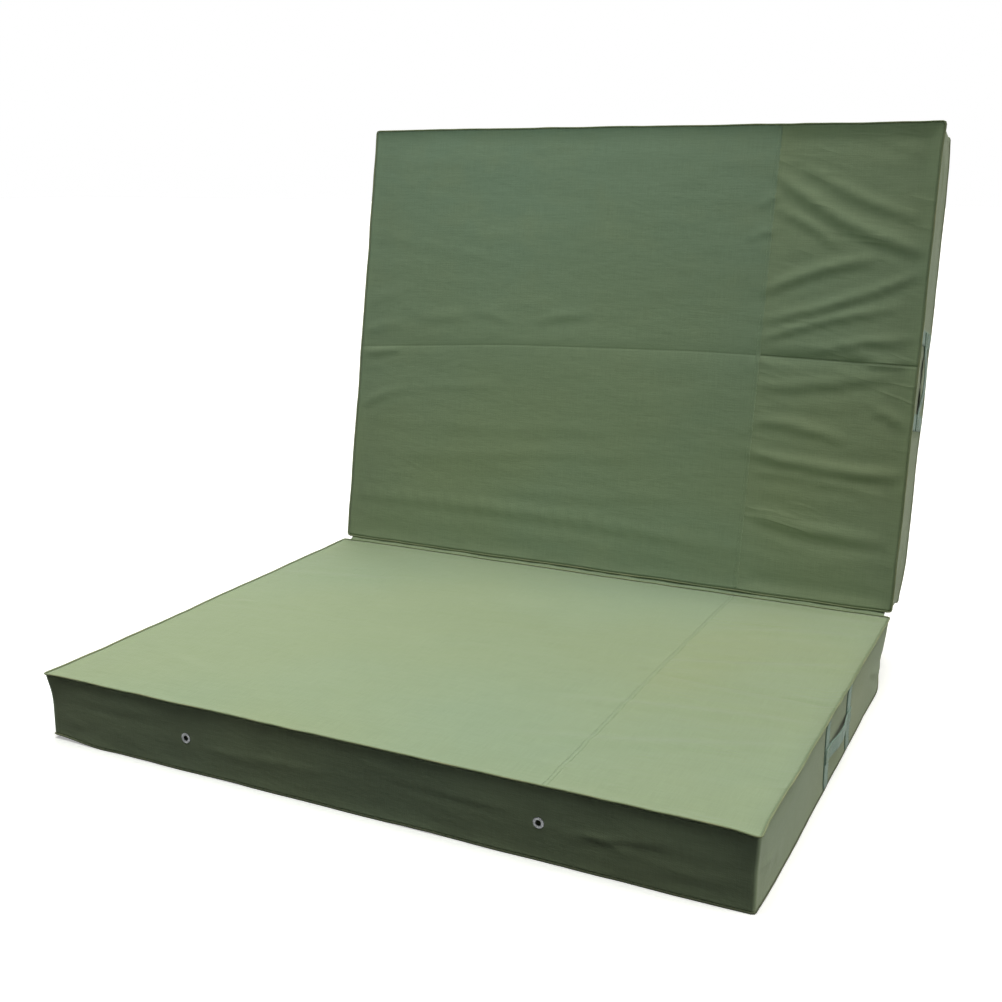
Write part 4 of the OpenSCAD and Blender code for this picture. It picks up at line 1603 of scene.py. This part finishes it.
def make_handles(panel, hand):
    """Two straps up an end wall, and a webbing grip that bows out between them in two halves."""
    sign = 1 if hand == "right" else -1
    straps_part, grip_part = f"{hand}_handle_straps", f"{hand}_grip"
    cloth = COVERS[panel.name][hand]
    # The straps' edges along the wall: the strap near the fold, then the far one
    ys = panel.steps(straps_part, 1)
    strap_low, strap_high = panel.box(straps_part)
    reach = np.sort(np.abs(panel.steps(straps_part, 0)))
    strap_t, grip_t = reach[1] - reach[0], reach[2] - reach[1]
    grip_low, grip_high = panel.box(grip_part)
    bow = np.abs([grip_low[0], grip_high[0]]).max() - reach[2]
    webbing = material("Ribbed webbing")
    near_edge, far_edge = ys[1], ys[2]

    def held(u, v, height):
        """Places on the straps, and on the bowed line between them."""
        u, v, height = np.broadcast_arrays(np.asarray(u, float), v, height)
        share = np.clip((u - near_edge) / (far_edge - near_edge), 0, 1)
        ends = [cloth.at(np.clip(u, low, high), v, 0.0) for low, high in (ys[:2], ys[2:])]
        base = (1 - share[..., None]) * ends[0] + share[..., None] * ends[1]
        base[..., 1] = u
        arch = 4 * share * (1 - share)
        base[..., 0] += sign * (height + 0.6 * bow * arch * (0.25 + 0.75 * smooth(arch, 0, 1)))
        return base

    straps = []
    for low, high in (ys[:2], ys[2:]):
        across = np.linspace(low, high, 9)
        up = np.linspace(strap_low[2], strap_high[2], 41)
        straps.append(slab("strap", across, up, 0.2 * MM, strap_t, cloth.at, webbing, 0.5 * MM, panel))
    strap_pair = join(panel.node(f"{hand}_strap_pair"), straps)
    put_on(strap_pair, panel.body, "webbing", panel.node(straps_part))
    # The grip's sewn ends lie on the straps
    rise = np.linspace(grip_low[2], grip_high[2], 9)
    middle = (near_edge + far_edge) / 2
    free_run = 60 * MM
    for half, from_y, to_y, hinge_y, way in (
        ("near", ys[0] + 2 * MM, middle, near_edge, 1),
        ("far", middle, ys[3] - 2 * MM, far_edge, -1),
    ):
        along = np.linspace(from_y, to_y, 61)
        name = panel.node(f"{hand}_grip_{half}_half")
        piece = slab(name, along, rise, strap_t + 0.4 * MM, grip_t, held, webbing, 0.5 * MM, panel)
        start = panel.place([[sign * WIDTH / 2, hinge_y, MID]])[0]
        end = panel.place([[sign * WIDTH / 2, hinge_y + way * free_run, MID]])[0]
        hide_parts(panel.node(grip_part))
        panel.node(grip_part)
        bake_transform(piece)
    # Edge rows up the straps, and a crossed box through each sewn end
    lines = []
    row_in = 4 * MM
    z = np.linspace(strap_low[2] + row_in, strap_high[2] - 3 * MM, 40)
    route = [(0, 0), (1, 0), (1, 1), (0, 1), (0, 0), (1, 1), (1, 0), (0, 1)]
    corner_z = (grip_low[2] + 5 * MM, grip_high[2] - 5 * MM)
    for low, high in (ys[:2], ys[2:]):
        for y in (low + row_in, high - row_in):
            lines.append(cloth.at(np.full(len(z), y), z, strap_t + 0.5 * MM))
        corner_y = (low + 7 * MM, high - 7 * MM)
        for (a, b), (c, d) in zip(route, route[1:]):
            share = np.linspace(0, 1, 12)
            box_y = corner_y[a] + (corner_y[c] - corner_y[a]) * share
            box_z = corner_z[b] + (corner_z[d] - corner_z[b]) * share
            lines.append(held(box_y, box_z, strap_t + grip_t + 0.6 * MM))
    put_on(stitch(panel.node(f"{hand}_handle_thread"), lines, panel), panel.body, "webbing")


def make_hinge_strip():
    """The cloth that joins the panels: hemmed to both fold walls, and curved across the fold."""
    co = corners(frame["nodes"]["hinge_strip"].data)
    hems = []
    for panel in PANELS:
        own = panel.own(co)
        on_wall = own[own[:, 1] > own[:, 1].max() - 0.05 * MM]
        hems.append((on_wall[:, 1].mean(), on_wall[:, 2].min(), on_wall[:, 2].max()))
    levels = np.unique(np.round(LOWER.own(co)[:, 1], 5))
    thick = levels[-1] - levels[-2]
    half_length = co[:, 0].max()
    # Centre line, from the lower hem over the fold to the upper hem
    ends = []
    for panel, (wall, low, high) in zip(PANELS, hems):
        y = wall - thick / 2 - 0.2 * MM
        z = np.linspace(low, high - thick, 5)
        ends.append(panel.place(np.stack([np.zeros(5), np.full(5, y), z], 1)))
    first, last = ends[0], ends[1][::-1]
    t = np.linspace(0, 1, 15)[1:-1, None]
    # A smooth curve across the fold, which leaves and meets each hem in the hem's own direction
    span = np.linalg.norm(last[0] - first[-1])
    leave = (first[-1] - first[-2]) / np.linalg.norm(first[-1] - first[-2]) * span * 0.5
    arrive = (last[1] - last[0]) / np.linalg.norm(last[1] - last[0]) * span * 0.5
    bridge = (
        (2 * t**3 - 3 * t**2 + 1) * first[-1]
        + (t**3 - 2 * t**2 + t) * leave
        + (3 * t**2 - 2 * t**3) * last[0]
        + (t**3 - t**2) * arrive
    )
    line = np.concatenate([first, bridge, last])
    run = np.concatenate([[0], np.cumsum(np.linalg.norm(np.diff(line, axis=0), axis=1))])
    ahead = np.gradient(line, axis=0)
    ahead /= np.linalg.norm(ahead, axis=1, keepdims=True)
    face = np.cross((1.0, 0.0, 0.0), ahead)

    def laid(u, v, height):
        """Places along the fold and along the line, with slow waves between the hems."""
        u, v, height = np.broadcast_arrays(u, v, height)
        place = np.stack([np.interp(v, run, line[:, axis]) for axis in (1, 2)], -1)
        lift = np.stack([np.interp(v, run, face[:, axis]) for axis in (1, 2)], -1)
        free = smooth(v, run[4], run[4] + 8 * MM) * (1 - smooth(v, run[-5] - 8 * MM, run[-5]))
        wave = 0.8 * MM * np.sin(2 * np.pi * u / 0.13 + 3 * np.sin(u * 7)) * free
        place = place + lift * (height + wave)[..., None]
        return np.concatenate([u[..., None], place], -1)

    along = np.linspace(-half_length, half_length, 161)
    strip = slab("hinge_cloth", along, run, -thick / 2, thick, laid, material("Cotton canvas"), 0.3 * MM)
    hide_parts("hinge_strip")
    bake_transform(strip)
    covers = [panel.node("cover") for panel in PANELS]
    # A row of stitches through each hem, on the side away from its wall
    u = np.linspace(-half_length + 6 * MM, half_length - 6 * MM, 300)
    for panel, place in ((LOWER, run[2]), (UPPER, run[-3])):
        rows = [laid(u, place, way * thick * 0.62) for way in (-1, 1)]
        outer_row = min(rows, key=lambda row: panel.own(row)[:, 1].mean())
        put_on(stitch(panel.node("hinge_thread"), [outer_row]), panel.body, "canvas")


def turned_to(direction, axis="Z"):
    """The turn that points a light's or a camera's own axis along a direction."""
    return Vector(direction).to_track_quat(axis, "Y").to_euler()


def make_lights(stage):
    """Soft suns from above, the right and behind, and a lamp that fills the raised panel."""
    for name, power, elevation, heading, softness in (
        ("overhead", stage.overhead, 91.5, -90, 44),
        ("from_right", stage.side, 30, 8, 30),
        ("from_behind", stage.back, 38, 118, 40),
    ):
        light = bpy.data.lights.new(name, "SUN")
        light.energy = power
        light.angle = math.radians(softness)
        light.color = (1.0, 0.99, 0.93)
        up, turn = math.radians(elevation), math.radians(heading)
        source = (math.cos(turn) * math.cos(up), math.sin(turn) * math.cos(up), math.sin(up))
        placed(name, light).rotation_euler = turned_to(source)
    light = bpy.data.lights.new("raised_panel_lamp", "AREA")
    light.shape = "DISK"
    light.size = 1.2
    light.energy = stage.lamp
    light.color = (0.84, 1.0, 0.93)
    lamp = placed("raised_panel_lamp", light)
    lamp.location = (-0.6, -1.0, 2.8)
    lamp.rotation_euler = turned_to(lamp.location - Vector((0.0, 0.85, 1.4)))


def make_sky(stage):
    """A sky that lights the mat from above only, and that the camera sees as white."""
    world = bpy.data.worlds.new("studio")
    world.use_nodes = True
    tree = world.node_tree
    tree.nodes.clear()
    toward = add(tree, "ShaderNodeTexCoord").outputs["Generated"]
    height = add(tree, "ShaderNodeSeparateXYZ", {0: toward}).outputs["Z"]
    above = add(tree, "ShaderNodeMapRange", {0: height, 1: -0.05, 2: 0.25, 4: stage.sky}).outputs[0]
    white = (1.0, 1.0, 1.0, 1.0)
    glow = add(tree, "ShaderNodeBackground", {"Color": white, "Strength": above}).outputs[0]
    seen = add(tree, "ShaderNodeBackground", {"Color": white, "Strength": 1.0}).outputs[0]
    by_camera = add(tree, "ShaderNodeLightPath").outputs["Is Camera Ray"]
    chosen = add(tree, "ShaderNodeMixShader", {0: by_camera, 1: glow, 2: seen}).outputs[0]
    add(tree, "ShaderNodeOutputWorld", {"Surface": chosen})
    return world


def make_stage():
    """A seamless pale floor, the lights, the sky and the camera."""
    scene = bpy.context.scene
    stage = scene.mat_stage
    reach = 60.0
    ground = [(-reach, -reach, 0), (reach, -reach, 0), (reach, reach, 0), (-reach, reach, 0)]
    floor = build("floor", ground, [(0, 1, 2, 3)], material("Studio paper"), shade=False)
    floor.visible_diffuse = False
    make_lights(stage)
    scene.world = make_sky(stage)
    scene.view_settings.view_transform = "Standard"
    camera = bpy.data.cameras.new("camera")
    camera.lens = stage.lens
    camera.sensor_width = 36
    scene.camera = placed("camera", camera)
    scene.camera.location = stage.eye
    level = math.cos(stage.tilt)
    ahead = (math.sin(stage.heading) * level, math.cos(stage.heading) * level, math.sin(stage.tilt))
    scene.camera.rotation_euler = turned_to(ahead, "-Z")


# --- Operators, panel and running ---


class MAT_OT_covers(bpy.types.Operator):
    """Make both canvas covers"""

    bl_idname = "gym_mat.covers"
    bl_label = "Covers"

    def execute(self, context):
        for panel in PANELS:
            make_cover(panel)
        return {"FINISHED"}


class MAT_OT_foam(bpy.types.Operator):
    """Make the foam blocks inside the covers"""

    bl_idname = "gym_mat.foam"
    bl_label = "Foam"

    def execute(self, context):
        for panel in PANELS:
            make_foam(panel)
        return {"FINISHED"}


class MAT_OT_piping(bpy.types.Operator):
    """Make the piping in the edge seams"""

    bl_idname = "gym_mat.piping"
    bl_label = "Piping"

    def execute(self, context):
        for panel in PANELS:
            make_piping(panel)
        return {"FINISHED"}


class MAT_OT_seams(bpy.types.Operator):
    """Make the seams across the faces, and their stitches"""

    bl_idname = "gym_mat.seams"
    bl_label = "Face seams"

    def execute(self, context):
        for panel in PANELS:
            make_seams(panel)
        return {"FINISHED"}


class MAT_OT_vents(bpy.types.Operator):
    """Make the eyelets of the air vents"""

    bl_idname = "gym_mat.vents"
    bl_label = "Vents"

    def execute(self, context):
        for panel in PANELS:
            make_vents(panel)
        return {"FINISHED"}


class MAT_OT_zips(bpy.types.Operator):
    """Make the zips in the fold walls"""

    bl_idname = "gym_mat.zips"
    bl_label = "Zips"

    def execute(self, context):
        for panel in PANELS:
            make_zip(panel)
        return {"FINISHED"}


class MAT_OT_handles(bpy.types.Operator):
    """Make the webbing handles on the end walls"""

    bl_idname = "gym_mat.handles"
    bl_label = "Handles"

    def execute(self, context):
        for panel in PANELS:
            for hand in ("left", "right"):
                make_handles(panel, hand)
        return {"FINISHED"}


class MAT_OT_hinge(bpy.types.Operator):
    """Make the cloth strip that joins the panels"""

    bl_idname = "gym_mat.hinge"
    bl_label = "Hinge strip"

    def execute(self, context):
        make_hinge_strip()
        return {"FINISHED"}


class MAT_OT_stage(bpy.types.Operator):
    """Make the floor, the lights and the camera"""

    bl_idname = "gym_mat.stage"
    bl_label = "Stage"

    def execute(self, context):
        make_stage()
        return {"FINISHED"}


STEPS = (
    MAT_OT_covers,
    MAT_OT_foam,
    MAT_OT_piping,
    MAT_OT_seams,
    MAT_OT_vents,
    MAT_OT_zips,
    MAT_OT_handles,
    MAT_OT_hinge,
    MAT_OT_stage,
)


class MAT_PT_sidebar(bpy.types.Panel):
    """Settings and steps of the gym mat"""

    bl_label = "Folding Gym Mat"
    bl_idname = "MAT_PT_sidebar"
    bl_space_type = "VIEW_3D"
    bl_region_type = "UI"
    bl_category = "Gym Mat"

    def draw(self, context):
        for name, kind in SETTINGS.items():
            box = self.layout.box()
            for field in kind.__annotations__:
                box.prop(getattr(context.scene, name), field)
        for step in STEPS:
            self.layout.operator(step.bl_idname)


CLASSES = (*SETTINGS.values(), *STEPS, MAT_PT_sidebar)


def register():
    for kind in CLASSES:
        bpy.utils.register_class(kind)
    for name, kind in SETTINGS.items():
        setattr(bpy.types.Scene, name, PointerProperty(type=kind))


def unregister():
    for name in SETTINGS:
        delattr(bpy.types.Scene, name)
    for kind in reversed(CLASSES):
        bpy.utils.unregister_class(kind)


def main():
    register()
    for step in STEPS:
        area, name = step.bl_idname.split(".")
        getattr(getattr(bpy.ops, area), name)()


if __name__ == "__main__":
    main()
